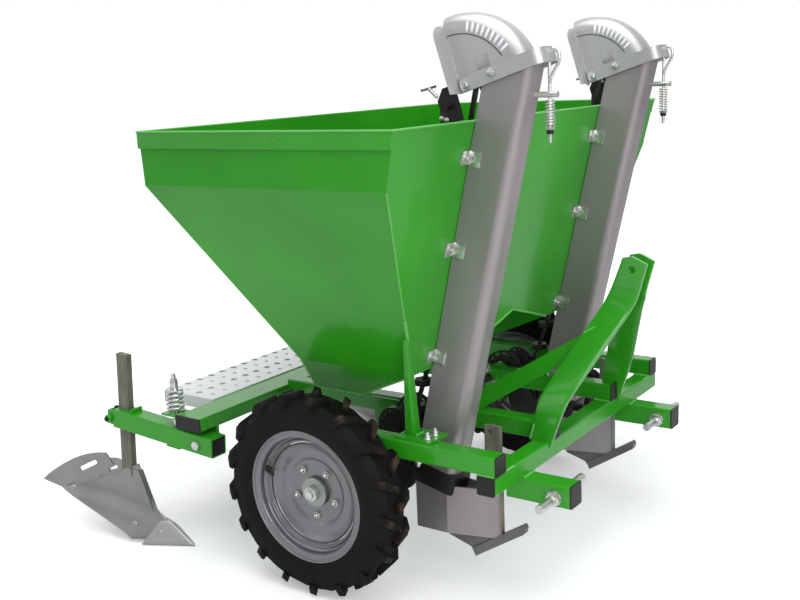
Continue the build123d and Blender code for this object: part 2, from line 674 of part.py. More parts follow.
def hood_form(radius, half, corner):
    """The quarter-round hood's solid form about its own row plane."""
    side_view = Plane(origin=(HEAD_X, 0, HEAD_Z), x_dir=HEAD_WAY, z_dir=(0, -1, 0))
    with BuildPart(mode=Mode.PRIVATE) as form:
        with BuildSketch(side_view):
            with BuildLine():
                Line((0, 0), (radius, 0))
                CenterArc((0, 0), radius, 0, 90)
                Line((0, radius), (0, 0))
            make_face()
        extrude(amount=half, both=True)
        fillet([e for e in form.edges() if e.geom_type == GeomType.CIRCLE], radius=corner)
    return form.part


with BuildPart() as tube_heads:
    for _, side in SIDES:
        add(Pos(0, side * ROW_Y, 0) * hood_form(HOOD_R, HEAD_HALF, HOOD_CORNER))
        add(Pos(0, side * ROW_Y, 0) * hood_form(HOOD_R - TUBE_WALL, HEAD_HALF - TUBE_WALL,
                                                HOOD_CORNER - TUBE_WALL), mode=Mode.SUBTRACT)
        with BuildSketch(Plane(origin=(HEAD_X, side * ROW_Y, HEAD_Z), x_dir=(0, 1, 0), z_dir=HEAD_WAY)) as ear:
            for hand in (-1, 1):
                with Locations((hand * (HEAD_HALF + EAR_WIDTH / 2 - 1), EAR_HEIGHT / 2)):
                    Rectangle(EAR_WIDTH + 2, EAR_HEIGHT)
            outer_top = [p for p in ear.vertices() if p.Y > EAR_HEIGHT - 1 and abs(p.X) > HEAD_HALF + EAR_WIDTH - 1]
            fillet(outer_top, radius=EAR_CORNER)
        extrude(amount=TUBE_WALL)
save(tube_heads, "tube_heads")

# Yoke straps round the heads, with the rods, pegs and springs that keep the cup chains tight
YOKE_HALF = HEAD_HALF + YOKE_PLATE
with BuildPart() as head_yokes:
    for _, side in SIDES:
        for half, reach, corner, how in (
                (YOKE_HALF, YOKE_REACH, YOKE_CORNER, Mode.ADD),
                (HEAD_HALF, YOKE_REACH - YOKE_PLATE, YOKE_CORNER - YOKE_PLATE, Mode.SUBTRACT)):
            with BuildSketch(Plane(origin=(HEAD_X, side * ROW_Y, HEAD_Z), x_dir=HEAD_WAY, z_dir=HEAD_UP)) as plan:
                rear = 4 if how == Mode.ADD else -10
                with Locations(((rear + reach) / 2, 0)):
                    Rectangle(reach - rear, 2 * half)
                fillet([p for p in plan.vertices() if p.X > reach - 1], radius=corner)
            extrude(amount=YOKE_HEIGHT, mode=how)
save(head_yokes, "head_yokes")

PEG_X = TUBE_REAR_X + LEAN_SLOPE * (PEG_Z - TUBE_FOOT_Z) + TUBE_DEPTH
with BuildPart() as tension_rods:
    for _, side in SIDES:
        with BuildSketch(Plane.XY.offset(ROD_LOW_Z)):
            with Locations((ROD_X, side * ROW_Y)):
                Circle(ROD_D / 2)
        extrude(amount=240)
        with BuildSketch(Plane.XY.offset(SPRING_LOW_Z - 7)):
            with Locations((ROD_X, side * ROW_Y)):
                RegularPolygon(12, 6)
        extrude(amount=6)
    split(bisect_by=Plane(origin=(HEAD_X, 0, HEAD_Z), x_dir=HEAD_WAY, z_dir=HEAD_UP), keep=Keep.BOTTOM)
save(tension_rods, "tension_rods")

with BuildPart() as tension_pegs:
    for _, side in SIDES:
        with BuildSketch(Plane.YZ.offset(PEG_X - 8)):
            with Locations((side * ROW_Y, PEG_Z)):
                Circle(PEG_D / 2)
        extrude(amount=PEG_REACH + 8)
        with BuildSketch(Plane.XY.offset(PEG_Z - 20)):
            with Locations((ROD_X, side * ROW_Y)):
                Circle(ROD_D / 2 + 0.3)
        extrude(amount=40, mode=Mode.SUBTRACT)
    split(bisect_by=Plane(origin=(PEG_X + 0.2, 0, PEG_Z), x_dir=(0, 1, 0), z_dir=(LEAN_WAY[2], 0, -LEAN_WAY[0])),
          keep=Keep.TOP)
save(tension_pegs, "tension_pegs")

with BuildPart() as tension_springs:
    for _, side in SIDES:
        add(coil((SPRING_OD - SPRING_WIRE) / 2, SPRING_WIRE, SPRING_TOP_Z - SPRING_LOW_Z - SPRING_WIRE, 9,
                 (ROD_X, side * ROW_Y, SPRING_LOW_Z + SPRING_WIRE / 2 - 0.9)))
save(tension_springs, "tension_springs")


# Knockers with their wing bolts behind the heads
with BuildPart() as knockers:
    for _, side in SIDES:
        outline = [(p[0], p[1]) for p in (head_point(0, 24), head_point(-1, -62), head_point(-38, -62),
                                          head_point(-52, -40), head_point(-52, 0), head_point(-30, 24))]
        add(slab(Plane.XZ.offset(-side * (ROW_Y + HEAD_HALF + 26)), outline, 6))
        with BuildSketch(Plane.XZ.offset(-side * (ROW_Y + HEAD_HALF + 34))):
            with Locations(head_point(-26, -20)):
                Circle(9)
        extrude(amount=14, both=True)
save(knockers, "knockers")

# Cup chains rising behind the hopper's front sheet and over the heads
CHAIN_BEHIND = 34.0
CHAIN_LOW_Z = 600.0
CHAIN_TOP_Z = 1350.0
CHAIN_DOWN_Z = 1262.0
CHAIN_T = 6.0
CHAIN_HALF = 9.0
CUP_R = 27.0
CUP_HEIGHT = 16.0
CUP_SIDES = 6
CUP_HEIGHTS = (470.0, 545.0, 640.0, 735.0, 830.0, 925.0, 1020.0, 1115.0, 1200.0)


def chain_x(z, across):
    """A strand's place along X at height z, so far across from the hopper's front sheet."""
    return wall_x(z) + across


LOOP_R = (CHAIN_BEHIND + 61.0) / 2
PULLEY_X = chain_x(CHAIN_TOP_Z, -CHAIN_BEHIND) + LOOP_R * LEAN_WAY[2]
PULLEY_Z = CHAIN_TOP_Z - LOOP_R * LEAN_WAY[0]
low_start = (LAY_X + ROW_SPROCKET_R + CHAIN_T, LAY_Z)
low_slope = (chain_x(CHAIN_LOW_Z, -CHAIN_BEHIND) - low_start[0]) / (CHAIN_LOW_Z - low_start[1])
LOOP_STEPS = 9
STRAND_TILT = radians(LEAN)


def strand_line(radius):
    """One face of the cup chain: up from its sprocket, along the front sheet and over the top pulley."""
    out = radius - LOOP_R
    turns = [pi - STRAND_TILT - pi * step / LOOP_STEPS for step in range(LOOP_STEPS + 1)]
    over = [(PULLEY_X + radius * cos(turn), PULLEY_Z + radius * sin(turn)) for turn in turns]
    return [(low_start[0] - out, low_start[1]), (chain_x(CHAIN_LOW_Z, -CHAIN_BEHIND) - out, CHAIN_LOW_Z), *over,
            (over[-1][0] - 60 * LEAN_WAY[0], over[-1][1] - 60 * LEAN_WAY[2])]


def loop_line(radius):
    """The cup chain's short loop from its sprocket down round the foot pulley."""
    tip = atan((FOOT_PULLEY_X - LAY_X) / (LAY_Z - FOOT_PULLEY_Z))
    half = [tip + pi * step / LOOP_STEPS for step in range(LOOP_STEPS + 1)]
    return ([(LAY_X + radius * cos(turn), LAY_Z + radius * sin(turn)) for turn in half]
            + [(FOOT_PULLEY_X - radius * cos(turn), FOOT_PULLEY_Z - radius * sin(turn)) for turn in half])


with BuildPart() as cup_chains:
    for _, side in SIDES:
        for z in CUP_HEIGHTS:
            low = z < CHAIN_LOW_Z
            cup_x = low_start[0] + low_slope * (z - low_start[1]) if low else chain_x(z, -CHAIN_BEHIND)
            with BuildSketch(Plane.XY.offset(z)):
                with Locations((cup_x, side * ROW_Y)):
                    RegularPolygon(CUP_R, CUP_SIDES)
            extrude(amount=CUP_HEIGHT)
        with BuildSketch(Plane.XZ.offset(-side * ROW_Y)):
            with BuildLine():
                Polyline(*strand_line(LOOP_R), *reversed(strand_line(LOOP_R + CHAIN_T)), close=True)
            make_face()
        extrude(amount=CHAIN_HALF, both=True)
        with BuildSketch(Plane.XZ.offset(-side * ROW_Y)):
            with BuildLine():
                Polyline(*loop_line(ROW_SPROCKET_R + CHAIN_T), close=True)
            make_face()
            with BuildLine():
                Polyline(*loop_line(ROW_SPROCKET_R), close=True)
            make_face(mode=Mode.SUBTRACT)
            with Locations((FOOT_PULLEY_X, FOOT_PULLEY_Z)):
                RegularPolygon(ROW_SPROCKET_R + 1, LOOP_STEPS * 2)
            with Locations((PULLEY_X, PULLEY_Z)):
                RegularPolygon(LOOP_R + 1, LOOP_STEPS * 2)
        extrude(amount=CHAIN_HALF, both=True)
        with BuildSketch(Plane.XZ.offset(-side * ROW_Y)):
            with Locations((PULLEY_X, PULLEY_Z)):
                RegularPolygon(9, LOOP_STEPS)
        extrude(amount=HEAD_HALF - TUBE_WALL, both=True)
save(cup_chains, "cup_chains")

# Clips that hold the tubes to the hopper's front sheet
CLIPS = ({"z": 1155.0}, {"z": 928.0}, {"z": 645.0})
with BuildPart() as tube_clips:
    for _, side in SIDES:
        for clip in CLIPS:
            for hand in (-1, 1):
                with BuildSketch(Plane.XY.offset(clip["z"] - 16)):
                    with Locations((wall_x(clip["z"] - 16) + 11, side * ROW_Y + hand * (TUBE_WIDTH / 2 + 7))):
                        Rectangle(22, 14)
                extrude(amount=32 / LEAN_WAY[2], dir=LEAN_WAY)
save(tube_clips, "tube_clips")

# Furrow openers: shank, sheet boot and share
SHANK_REAR_X = 397.0
SHANK_LOW_Z = 168.0
BOOT_HALF = TUBE_WIDTH / 2
with BuildPart() as opener_shanks:
    for _, side in SIDES:
        with BuildSketch(Plane.XZ.offset(-side * ROW_Y)):
            with BuildLine():
                Polyline((SHANK_REAR_X, SHANK_TOP_Z), (SHANK_REAR_X + SHANK_WIDTH, SHANK_TOP_Z),
                         (SHANK_REAR_X + SHANK_WIDTH, SHANK_LOW_Z), (SHANK_REAR_X, SHANK_LOW_Z), close=True)
            make_face()
            with Locations((SHANK_REAR_X + 17, SHANK_TOP_Z - 16)):
                Circle(SHANK_HOLE_D / 2, mode=Mode.SUBTRACT)
        extrude(amount=SHANK_THICKNESS / 2, both=True)
save(opener_shanks, "opener_shanks")

CLAMP_REAR_X = SHANK_REAR_X - 12.0
CLAMP_TOP_Z = BEAM_LOW_Z - 4
CLAMP_LOW_Z = BEAM_LOW_Z - BEAM + 4
with BuildPart() as shank_clamps:
    for _, side in SIDES:
        with BuildSketch(Plane.XY.offset(CLAMP_LOW_Z)):
            with Locations(((CLAMP_REAR_X + CROSSBAR_REAR_X) / 2, side * ROW_Y)):
                Rectangle(CROSSBAR_REAR_X - CLAMP_REAR_X, SHANK_THICKNESS + 16)
            with Locations((SHANK_REAR_X + SHANK_WIDTH / 2, side * ROW_Y)):
                Rectangle(SHANK_WIDTH, SHANK_THICKNESS, mode=Mode.SUBTRACT)
        extrude(amount=CLAMP_TOP_Z - CLAMP_LOW_Z)
save(shank_clamps, "shank_clamps")

with BuildPart() as opener_boots:
    for _, side in SIDES:
        for hand in (-1, 1):
            with BuildSketch(Plane.XY.offset(BOOT_LOW_Z)):
                with BuildLine():
                    Polyline((BOOT_REAR_X, side * ROW_Y + hand * BOOT_HALF),
                             (BOOT_SHOULDER_X, side * ROW_Y + hand * BOOT_HALF),
                             (BOOT_NOSE_X, side * ROW_Y + hand * SHANK_THICKNESS / 2),
                             (BOOT_NOSE_X - 30, side * ROW_Y + hand * SHANK_THICKNESS / 2),
                             (BOOT_SHOULDER_X - 1, side * ROW_Y + hand * (BOOT_HALF - BOOT_SHEET)),
                             (BOOT_REAR_X, side * ROW_Y + hand * (BOOT_HALF - BOOT_SHEET)), close=True)
                make_face()
            extrude(amount=BOOT_TOP_Z - BOOT_LOW_Z)
        with BuildSketch(Plane.XY.offset(BOOT_LOW_Z)):
            with BuildLine():
                Polyline((BOOT_SHOULDER_X + 30, side * ROW_Y + 34), (BOOT_NOSE_X - 43, side * ROW_Y + 8),
                         (BOOT_NOSE_X - 43, side * ROW_Y - 8), (BOOT_SHOULDER_X + 30, side * ROW_Y - 34),
                         close=True)
            make_face()
        extrude(amount=BOOT_SHEET)
save(opener_boots, "opener_boots")

KEEL = ((279, BOOT_LOW_Z - 22), (345, 113), (SHARE_TIP_X, SHARE_TIP_Z), (SHARE_TIP_X + 60, 130),
        (SHANK_REAR_X + SHANK_WIDTH, SHANK_LOW_Z), (SHANK_REAR_X, SHANK_LOW_Z), (SHANK_REAR_X, BOOT_LOW_Z),
        (279, BOOT_LOW_Z))
SHARE = ((SHARE_TIP_X, SHARE_TIP_Z), (SHARE_NOSE_X - 3, 184), (SHARE_NOSE_X, 200), (SHARE_NOSE_X - 6, 208),
         (SHARE_TIP_X - 10, 112))
with BuildPart() as opener_shares:
    for _, side in SIDES:
        add(slab(Plane.XZ.offset(-side * ROW_Y), KEEL, 6))
        add(slab(Plane.XZ.offset(-side * ROW_Y), SHARE, SHARE_WIDTH / 2))
    add(opener_shanks.part, mode=Mode.SUBTRACT)
    add(opener_boots.part, mode=Mode.SUBTRACT)
save(opener_shares, "opener_shares")

# Ridger bodies: level V sections with their ridge ahead and their wings swept back
BODY_ROWS = (
    {"z": 14, "ridge": -515, "rear": -690, "half": 78},
    {"z": 62, "ridge": -612, "rear": -822, "half": 82},
    {"z": 127, "ridge": -668, "rear": -1006, "half": 88},
    {"z": 250, "ridge": -702, "rear": -1010, "half": 92},
)
BODY_SHEET = 7.0
BODY_INNER_ROWS = tuple({"z": row["z"], "ridge": row["ridge"] - 16, "rear": row["rear"] - 0.01,
                         "half": row["half"] - BODY_SHEET} for row in BODY_ROWS)
SHARE_ROWS = (
    {"z": 0, "ridge": -489, "rear": -646, "half": 77},
    {"z": 62, "ridge": -598, "rear": -700, "half": 47},
)
BODY_TOP_X = -680.0
BODY_TOP_Z = 236.0
BODY_TOP_WAY = (-0.345, 0, 0.939)
WING_SWEEP = atan(BODY_ROWS[2]["half"] / (BODY_ROWS[2]["ridge"] - BODY_ROWS[2]["rear"]))
WING_TIP = (REAR_REACH + BODY_ROWS[2]["ridge"]) / cos(WING_SWEEP)
WING_PLATE = ((WING_TIP, 142), (352, 180), (300, 210), (240, 234), (196, 246), (160, 250), (136, 214), (200, 165),
              (330, 118))
WING_SLOT = {"u": 246.0, "v": 196.0, "length": 72.0, "width": 15.0, "turn": -24.0}
BOLT_RINGS = (
    {"z": 380.0, "r": 13.0, "t": 20.0},
    {"z": RIDGER_SPRING_TOP_Z, "r": 25.0, "t": 4.0},
    {"z": RIDGER_SPRING_TOP_Z + 4, "r": 12.0, "t": 20.0},
)


def plough_form(rows):
    """A solid wedge lofted through level V sections about the ridger's own middle plane."""
    with BuildPart(mode=Mode.PRIVATE) as form:
        for row in rows:
            with BuildSketch(Plane.XY.offset(row["z"])):
                with BuildLine():
                    Polyline((row["ridge"], 0), (row["rear"], row["half"]), (row["rear"], -row["half"]), close=True)
                make_face()
        loft(ruled=True)
    return form.part


# Ridgers: everything on an arm that is pitched about its pivot bolt
for name, side in SIDES:
    pitch = radians(RIDGER_PITCH)
    arm_side = Plane(origin=(PIVOT_X, side * RIDGER_Y, PIVOT_Z), x_dir=(cos(pitch), 0, -sin(pitch)),
                     z_dir=(0, -1, 0))
    arm_end = Plane(origin=arm_side.from_local_coords((-ARM_BEHIND, 0, 0)), x_dir=(0, 1, 0),
                    z_dir=(cos(pitch), 0, -sin(pitch)))
    arm_top = Plane(origin=arm_side.from_local_coords((0, 0, 0)), x_dir=(cos(pitch), 0, -sin(pitch)),
                    z_dir=(sin(pitch), 0, cos(pitch)))

    with BuildPart() as ridger_arm:
        with BuildSketch(arm_end):
            RectangleRounded(ARM, ARM, CAP_CORNER)
            RectangleRounded(ARM - 2 * ARM_WALL, ARM - 2 * ARM_WALL, CAP_CORNER - 2, mode=Mode.SUBTRACT)
        extrude(amount=ARM_BEHIND + ARM_AHEAD)
        with BuildSketch(arm_side):
            Circle(PIVOT_D / 2 + 4)
        extrude(amount=ARM / 2 - 1, both=True)
        with BuildSketch(arm_side):
            Circle(PIVOT_D / 2 + 0.05)
        extrude(amount=ARM, both=True, mode=Mode.SUBTRACT)
        with BuildSketch(arm_top):
            with Locations((-RIDGER_SHANK_BEHIND, 0)):
                Rectangle(RIDGER_SHANK_WIDTH + 0.2, RIDGER_SHANK_THICKNESS + 0.2)
        extrude(amount=ARM, both=True, mode=Mode.SUBTRACT)
        with BuildSketch(arm_top.offset(-22)):
            with Locations((-ARM_BEHIND - CLAMP_REACH / 2 + 1, 0)):
                Rectangle(CLAMP_REACH + 2, ARM - 8)
            with Locations((-ARM_BEHIND - CLAMP_REACH / 2 + CLAMP_STRAP / 2, 0)):
                Rectangle(CLAMP_REACH - CLAMP_STRAP, ARM - 8 - 2 * CLAMP_STRAP, mode=Mode.SUBTRACT)
        extrude(amount=44)
    save(ridger_arm, f"ridger_arm_{name}")

    with BuildPart() as ridger_shank:
        with BuildSketch(arm_top.offset(-RIDGER_SHANK_DOWN)):
            with Locations((-RIDGER_SHANK_BEHIND, 0)):
                Rectangle(RIDGER_SHANK_WIDTH, RIDGER_SHANK_THICKNESS)
        extrude(amount=RIDGER_SHANK_DOWN + RIDGER_SHANK_UP)
    save(ridger_shank, f"ridger_shank_{name}")

    with BuildPart() as ridger_body:
        add(Pos(0, side * RIDGER_Y, 0) * (plough_form(BODY_ROWS) - plough_form(BODY_INNER_ROWS)))
        split(bisect_by=Plane(origin=(BODY_TOP_X, 0, BODY_TOP_Z), z_dir=BODY_TOP_WAY), keep=Keep.BOTTOM)
        with BuildSketch(Plane.XZ.offset(-side * RIDGER_Y)):
            with BuildLine():
                Polyline((-776, 205), (-716, 205), (-640, 70), (-700, 70), (-776, 150), close=True)
            make_face()
        extrude(amount=9, both=True)
        add(ridger_shank.part, mode=Mode.SUBTRACT)
    save(ridger_body, f"ridger_body_{name}")

    with BuildPart() as ridger_share:
        add(Pos(0, side * RIDGER_Y, 0) * (plough_form(SHARE_ROWS) - plough_form(BODY_ROWS)))
    save(ridger_share, f"ridger_share_{name}")

    with BuildPart() as wing_plates:
        for hand in (-1, 1):
            wing = Plane(origin=(BODY_ROWS[2]["ridge"], side * RIDGER_Y - hand * 10.5, 0),
                         x_dir=(-cos(WING_SWEEP), hand * sin(WING_SWEEP), 0),
                         z_dir=(hand * sin(WING_SWEEP), cos(WING_SWEEP), 0))
            add(slab(wing, WING_PLATE, 3))
            with BuildSketch(wing):
                with Locations((WING_SLOT["u"], WING_SLOT["v"])):
                    SlotOverall(WING_SLOT["length"], WING_SLOT["width"], rotation=WING_SLOT["turn"])
            extrude(amount=5, both=True, mode=Mode.SUBTRACT)
        add(Pos(0, side * RIDGER_Y, 0) * (plough_form(BODY_ROWS) - plough_form(BODY_INNER_ROWS)),
            mode=Mode.SUBTRACT)
    save(wing_plates, f"ridger_wing_plates_{name}")

    with BuildPart() as spring_bolt:
        with BuildSketch(Plane.XY.offset(PIVOT_Z)):
            with Locations((SPRING_BOLT_X, side * RIDGER_Y)):
                Circle(SPRING_BOLT_D / 2)
        extrude(amount=SPRING_BOLT_TOP_Z - PIVOT_Z)
        for row in BOLT_RINGS:
            with BuildSketch(Plane.XY.offset(row["z"])):
                with Locations((SPRING_BOLT_X, side * RIDGER_Y)):
                    Circle(row["r"])
            extrude(amount=row["t"])
        split(bisect_by=arm_top.offset(ARM / 2), keep=Keep.TOP)
    save(spring_bolt, f"ridger_spring_bolt_{name}")

    with BuildPart() as ridger_spring:
        add(coil((RIDGER_SPRING_OD - RIDGER_SPRING_WIRE) / 2, RIDGER_SPRING_WIRE,
                 RIDGER_SPRING_TOP_Z - LUG_TOP_Z - RIDGER_SPRING_WIRE - 1, 4.5,
                 (SPRING_BOLT_X, side * RIDGER_Y, LUG_TOP_Z + RIDGER_SPRING_WIRE / 2 + 0.8)))
    save(ridger_spring, f"ridger_spring_{name}")

# Bolts that the ridger arms turn on
with BuildPart() as pivot_bolts:
    for _, side in SIDES:
        with BuildSketch(Plane.XZ.offset(-side * (RIDGER_Y - ARM / 2 - 16))):
            with Locations((PIVOT_X, PIVOT_Z)):
                Circle(PIVOT_D / 2)
        extrude(amount=-side * (ARM + 18))
        with BuildSketch(Plane.XZ.offset(-side * (RIDGER_Y + ARM / 2 + 1))):
            with Locations((PIVOT_X, PIVOT_Z)):
                RegularPolygon(14, 6)
        extrude(amount=-side * 9)
        with BuildSketch(Plane.XZ.offset(-side * (RIDGER_Y - ARM / 2 - 15))):
            with Locations((PIVOT_X, PIVOT_Z)):
                RegularPolygon(14, 6)
        extrude(amount=side * 10)
save(pivot_bolts, "pivot_bolts")

# Lay shaft through the inner beams, and the chains that drive it from the wheels
with BuildPart() as lay_shaft:
    with BuildSketch(Plane.XZ.offset(-LAY_REACH)):
        with Locations((LAY_X, LAY_Z)):
            Circle(LAY_D / 2)
    extrude(amount=2 * LAY_REACH)
    for _, side in SIDES:
        for y, outer in ((CHAIN_Y, CHAIN_R), (ROW_Y, ROW_SPROCKET_R)):
            with BuildSketch(Plane.XZ.offset(-side * y)):
                with BuildLine():
                    Polyline(*toothed_line(LAY_X, LAY_Z, outer), close=True)
                make_face()
            extrude(amount=SPROCKET_THICKNESS / 2, both=True)
            with BuildSketch(Plane.XZ.offset(-side * y)):
                with Locations((LAY_X, LAY_Z)):
                    Circle(LAY_D / 2 + 8)
            extrude(amount=SPROCKET_THICKNESS * 2, both=True)
save(lay_shaft, "lay_shaft")

with BuildPart() as shaft_bearings:
    for _, side in SIDES:
        for hand in (-1, 1):
            with BuildSketch(Plane.XZ.offset(-side * INNER_BEAM_Y + hand * (BEAM + BEARING_T) / 2)):
                with Locations((LAY_X, LAY_Z)):
                    Circle(BEARING_D / 2)
                    Circle(LAY_D / 2 + 0.05, mode=Mode.SUBTRACT)
            extrude(amount=BEARING_T / 2, both=True)
save(shaft_bearings, "shaft_bearings")

CHAIN_SPAN_TURN = atan(LAY_X / (LAY_Z - AXLE_Z))
CHAIN_STEPS = 10


def drive_line(radius):
    """The drive chain's outline round the lay shaft's sprocket and the wheel's."""
    half = [pi * step / CHAIN_STEPS - CHAIN_SPAN_TURN for step in range(CHAIN_STEPS + 1)]
    return ([(LAY_X + radius * cos(turn), LAY_Z + radius * sin(turn)) for turn in half]
            + [(-radius * cos(turn), AXLE_Z - radius * sin(turn)) for turn in half])


with BuildPart() as drive_chains:
    for _, side in SIDES:
        with BuildSketch(Plane.XZ.offset(-side * CHAIN_Y)):
            with BuildLine():
                Polyline(*drive_line(CHAIN_R + 8), close=True)
            make_face()
            with BuildLine():
                Polyline(*drive_line(CHAIN_R), close=True)
            make_face(mode=Mode.SUBTRACT)
        extrude(amount=4, both=True)
save(drive_chains, "drive_chains")
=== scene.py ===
"""Dress a two-row mounted potato planter for its studio picture.

The frame, hopper, elevators, openers, wheels and ridgers come from the CAD nodes. This script gives each of
them its finish and adds the fasteners, welds, seams and small fittings. Everything is in metres, +X forward
to the tractor, +Y to the machine's left and +Z up, with the floor at zero.
"""

from __future__ import annotations

import json
import logging
from collections.abc import Callable
from dataclasses import dataclass
from enum import Enum
from functools import partial
from math import cos, pi, radians, sin, tan

import bpy
from mathutils import Matrix, Vector

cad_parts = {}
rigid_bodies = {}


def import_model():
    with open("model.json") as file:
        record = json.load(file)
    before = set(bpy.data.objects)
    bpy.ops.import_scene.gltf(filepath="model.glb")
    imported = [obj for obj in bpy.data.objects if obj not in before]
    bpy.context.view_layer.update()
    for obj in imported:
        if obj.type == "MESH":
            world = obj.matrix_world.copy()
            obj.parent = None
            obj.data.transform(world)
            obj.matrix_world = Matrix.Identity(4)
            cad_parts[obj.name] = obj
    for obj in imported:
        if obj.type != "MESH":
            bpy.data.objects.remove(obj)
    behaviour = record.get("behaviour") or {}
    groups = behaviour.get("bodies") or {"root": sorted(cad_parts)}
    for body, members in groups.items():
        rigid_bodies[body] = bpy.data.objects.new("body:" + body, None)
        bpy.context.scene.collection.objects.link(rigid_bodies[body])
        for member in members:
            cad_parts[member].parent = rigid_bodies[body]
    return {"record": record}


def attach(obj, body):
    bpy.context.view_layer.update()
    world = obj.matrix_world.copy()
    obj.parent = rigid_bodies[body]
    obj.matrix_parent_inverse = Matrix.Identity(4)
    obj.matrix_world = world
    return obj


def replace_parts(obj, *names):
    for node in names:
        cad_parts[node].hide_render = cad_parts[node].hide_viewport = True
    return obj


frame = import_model()

LOG = logging.getLogger("planter")

# The wheels' axle in metres, and the rows, wheels and ridgers from the middle in millimetres
AXLE_X = 0.180
AXLE_Z = 0.280
ROW_Y = 357.0
WHEEL_Y = 583.0
RIDGER_Y = 570.0
SIDES = (("right", -1), ("left", 1))


class Look(Enum):
    """The finishes, each with the record's slot that it belongs to, and a slot's plain finish first."""

    GREEN = ("green_paint", "plain")
    MAST = ("green_paint", "glossy")
    # A lighter green for welds, seams and rolled edges; its extra lightness is a painted highlight.
    EDGE = ("green_paint", "edges")
    SILVER = ("silver_paint", "plain")
    # A lighter copy of the silver paint for the heads and yokes; the extra lightness is painted light, for the
    # stronger light that falls high up.
    HEAD = ("silver_paint", "heads")
    ZINC = ("zinc", "plain")
    HUB = ("zinc", "hubs")
    STEP = ("zinc", "step")
    BLACK = ("black_plastic", "plain")
    RUBBER = ("tyre_rubber", "plain")
    RIM = ("rim_paint", "plain")
    DARK = ("dark_steel", "plain")
    SHARE = ("dark_steel", "shares")
    BARE = ("bare_steel", "plain")
    PLOUGH = ("plough_paint", "plain")
    BRIGHT = ("plough_paint", "ground")

    @property
    def slot(self) -> str:
        """Give the record's material slot."""
        return self.value[0]


NODE_LOOKS = {
    "wheel_hub_right": Look.HUB,
    "wheel_hub_left": Look.HUB,
    # Heads and yokes wear the lighter silver copy as painted light.
    "tube_heads": Look.HEAD,
    "head_yokes": Look.HEAD,
    "step_plate": Look.STEP,
    "opener_shares": Look.SHARE,
    "ridger_share_right": Look.BRIGHT,
    "ridger_share_left": Look.BRIGHT,
}


class Value:
    """A shader socket that can be written into plain Python expressions."""

    def __init__(self, tree: "Tree", socket: bpy.types.NodeSocket) -> None:
        """Keep an output socket and the tree that its nodes go into."""
        self.tree = tree
        self.socket = socket

    def _math(self, operation: str, left: object, right: object) -> "Value":
        """Add one Math node."""
        return self.tree.node("ShaderNodeMath", {"operation": operation}, {0: left, 1: right})

    def __add__(self, other: object) -> "Value":
        """Add a value or a number."""
        return self._math("ADD", self, other)

    def __radd__(self, other: object) -> "Value":
        """Add this value to a number."""
        return self._math("ADD", other, self)

    def __sub__(self, other: object) -> "Value":
        """Subtract a value or a number."""
        return self._math("SUBTRACT", self, other)

    def __rsub__(self, other: object) -> "Value":
        """Subtract this value from a number."""
        return self._math("SUBTRACT", other, self)

    def __mul__(self, other: object) -> "Value":
        """Multiply by a value or a number."""
        return self._math("MULTIPLY", self, other)

    def __rmul__(self, other: object) -> "Value":
        """Multiply a number by this value."""
        return self._math("MULTIPLY", other, self)

    def at_least(self, other: object) -> "Value":
        """Give the greater of two values."""
        return self._math("MAXIMUM", self, other)

    def at_most(self, other: object) -> "Value":
        """Give the lesser of two values."""
        return self._math("MINIMUM", self, other)

    def power(self, other: object) -> "Value":
        """Raise to a power."""
        return self._math("POWER", self, other)


class Tree:
    """A node tree that is filled in by plain calls."""

    def __init__(self, tree: bpy.types.NodeTree) -> None:
        """Take a tree and empty it."""
        self.tree = tree
        self.tree.nodes.clear()

    def node(self, kind: str, settings: dict, inputs: dict, out: int | str = 0) -> Value:
        """Add any node.

        Args:
            kind: The node's type.
            settings: Node settings, set before its sockets.
            inputs: Values or links by socket name or number.
            out: The output socket wanted.

        Returns:
            The wanted output.
        """
        made = self.tree.nodes.new(kind)
        for key, value in settings.items():
            setattr(made, key, value)
        for key, value in inputs.items():
            self.feed(made.inputs[key], value)
        return Value(self, made.outputs[out])

    def feed(self, socket: bpy.types.NodeSocket, value: object) -> None:
        """Link or set one input socket.

        Args:
            socket: The input.
            value: A Value to link, or a plain number, colour or vector.
        """
        if isinstance(value, Value):
            self.tree.links.new(value.socket, socket)
        else:
            socket.default_value = value


class Shader(Tree):
    """One material under construction."""

    def __init__(self, name: str) -> None:
        """Start a material with only its output node.

        Args:
            name: The material's name.
        """
        self.material = bpy.data.materials.new(name)
        self.material.use_nodes = True
        super().__init__(self.material.node_tree)
        self.output = self.tree.nodes.new("ShaderNodeOutputMaterial")

    def place(self, stretch: tuple = (1.0, 1.0, 1.0)) -> Value:
        """Give the object's own coordinates, scaled."""
        spot = self.node("ShaderNodeTexCoord", {}, {}, "Object")
        return self.node("ShaderNodeMapping", {}, {"Vector": spot, "Scale": stretch})

    def noise(self, scale: float, detail: float = 3.0, stretch: tuple = (1.0, 1.0, 1.0)) -> Value:
        """Give a soft noise over the surface."""
        spot = self.place(stretch)
        return self.node("ShaderNodeTexNoise", {}, {"Vector": spot, "Scale": scale, "Detail": detail})

    def blend(self, factor: object, first: object, second: object) -> Value:
        """Mix two colours."""
        return self.node("ShaderNodeMix", {"data_type": "RGBA"}, {0: factor, 6: first, 7: second}, 2)

    def ramp(self, factor: Value, low: float, high: float) -> Value:
        """Stretch a factor so that low gives 0 and high gives 1."""
        return self.node("ShaderNodeMapRange", {}, {"Value": factor, "From Min": low, "From Max": high})

    def bump(self, height: Value, strength: float, distance: float) -> Value:
        """Turn a height into a bumped normal."""
        return self.node("ShaderNodeBump", {}, {"Height": height, "Strength": strength, "Distance": distance})

    def finish(self, **inputs: object) -> bpy.types.Material:
        """Close the material with a Principled shader.

        Args:
            inputs: Values by socket name, with underscores for spaces.

        Returns:
            The material.
        """
        named = {key.replace("_", " "): value for key, value in inputs.items()}
        result = self.node("ShaderNodeBsdfPrincipled", {}, named)
        self.tree.links.new(result.socket, self.output.inputs["Surface"])
        return self.material


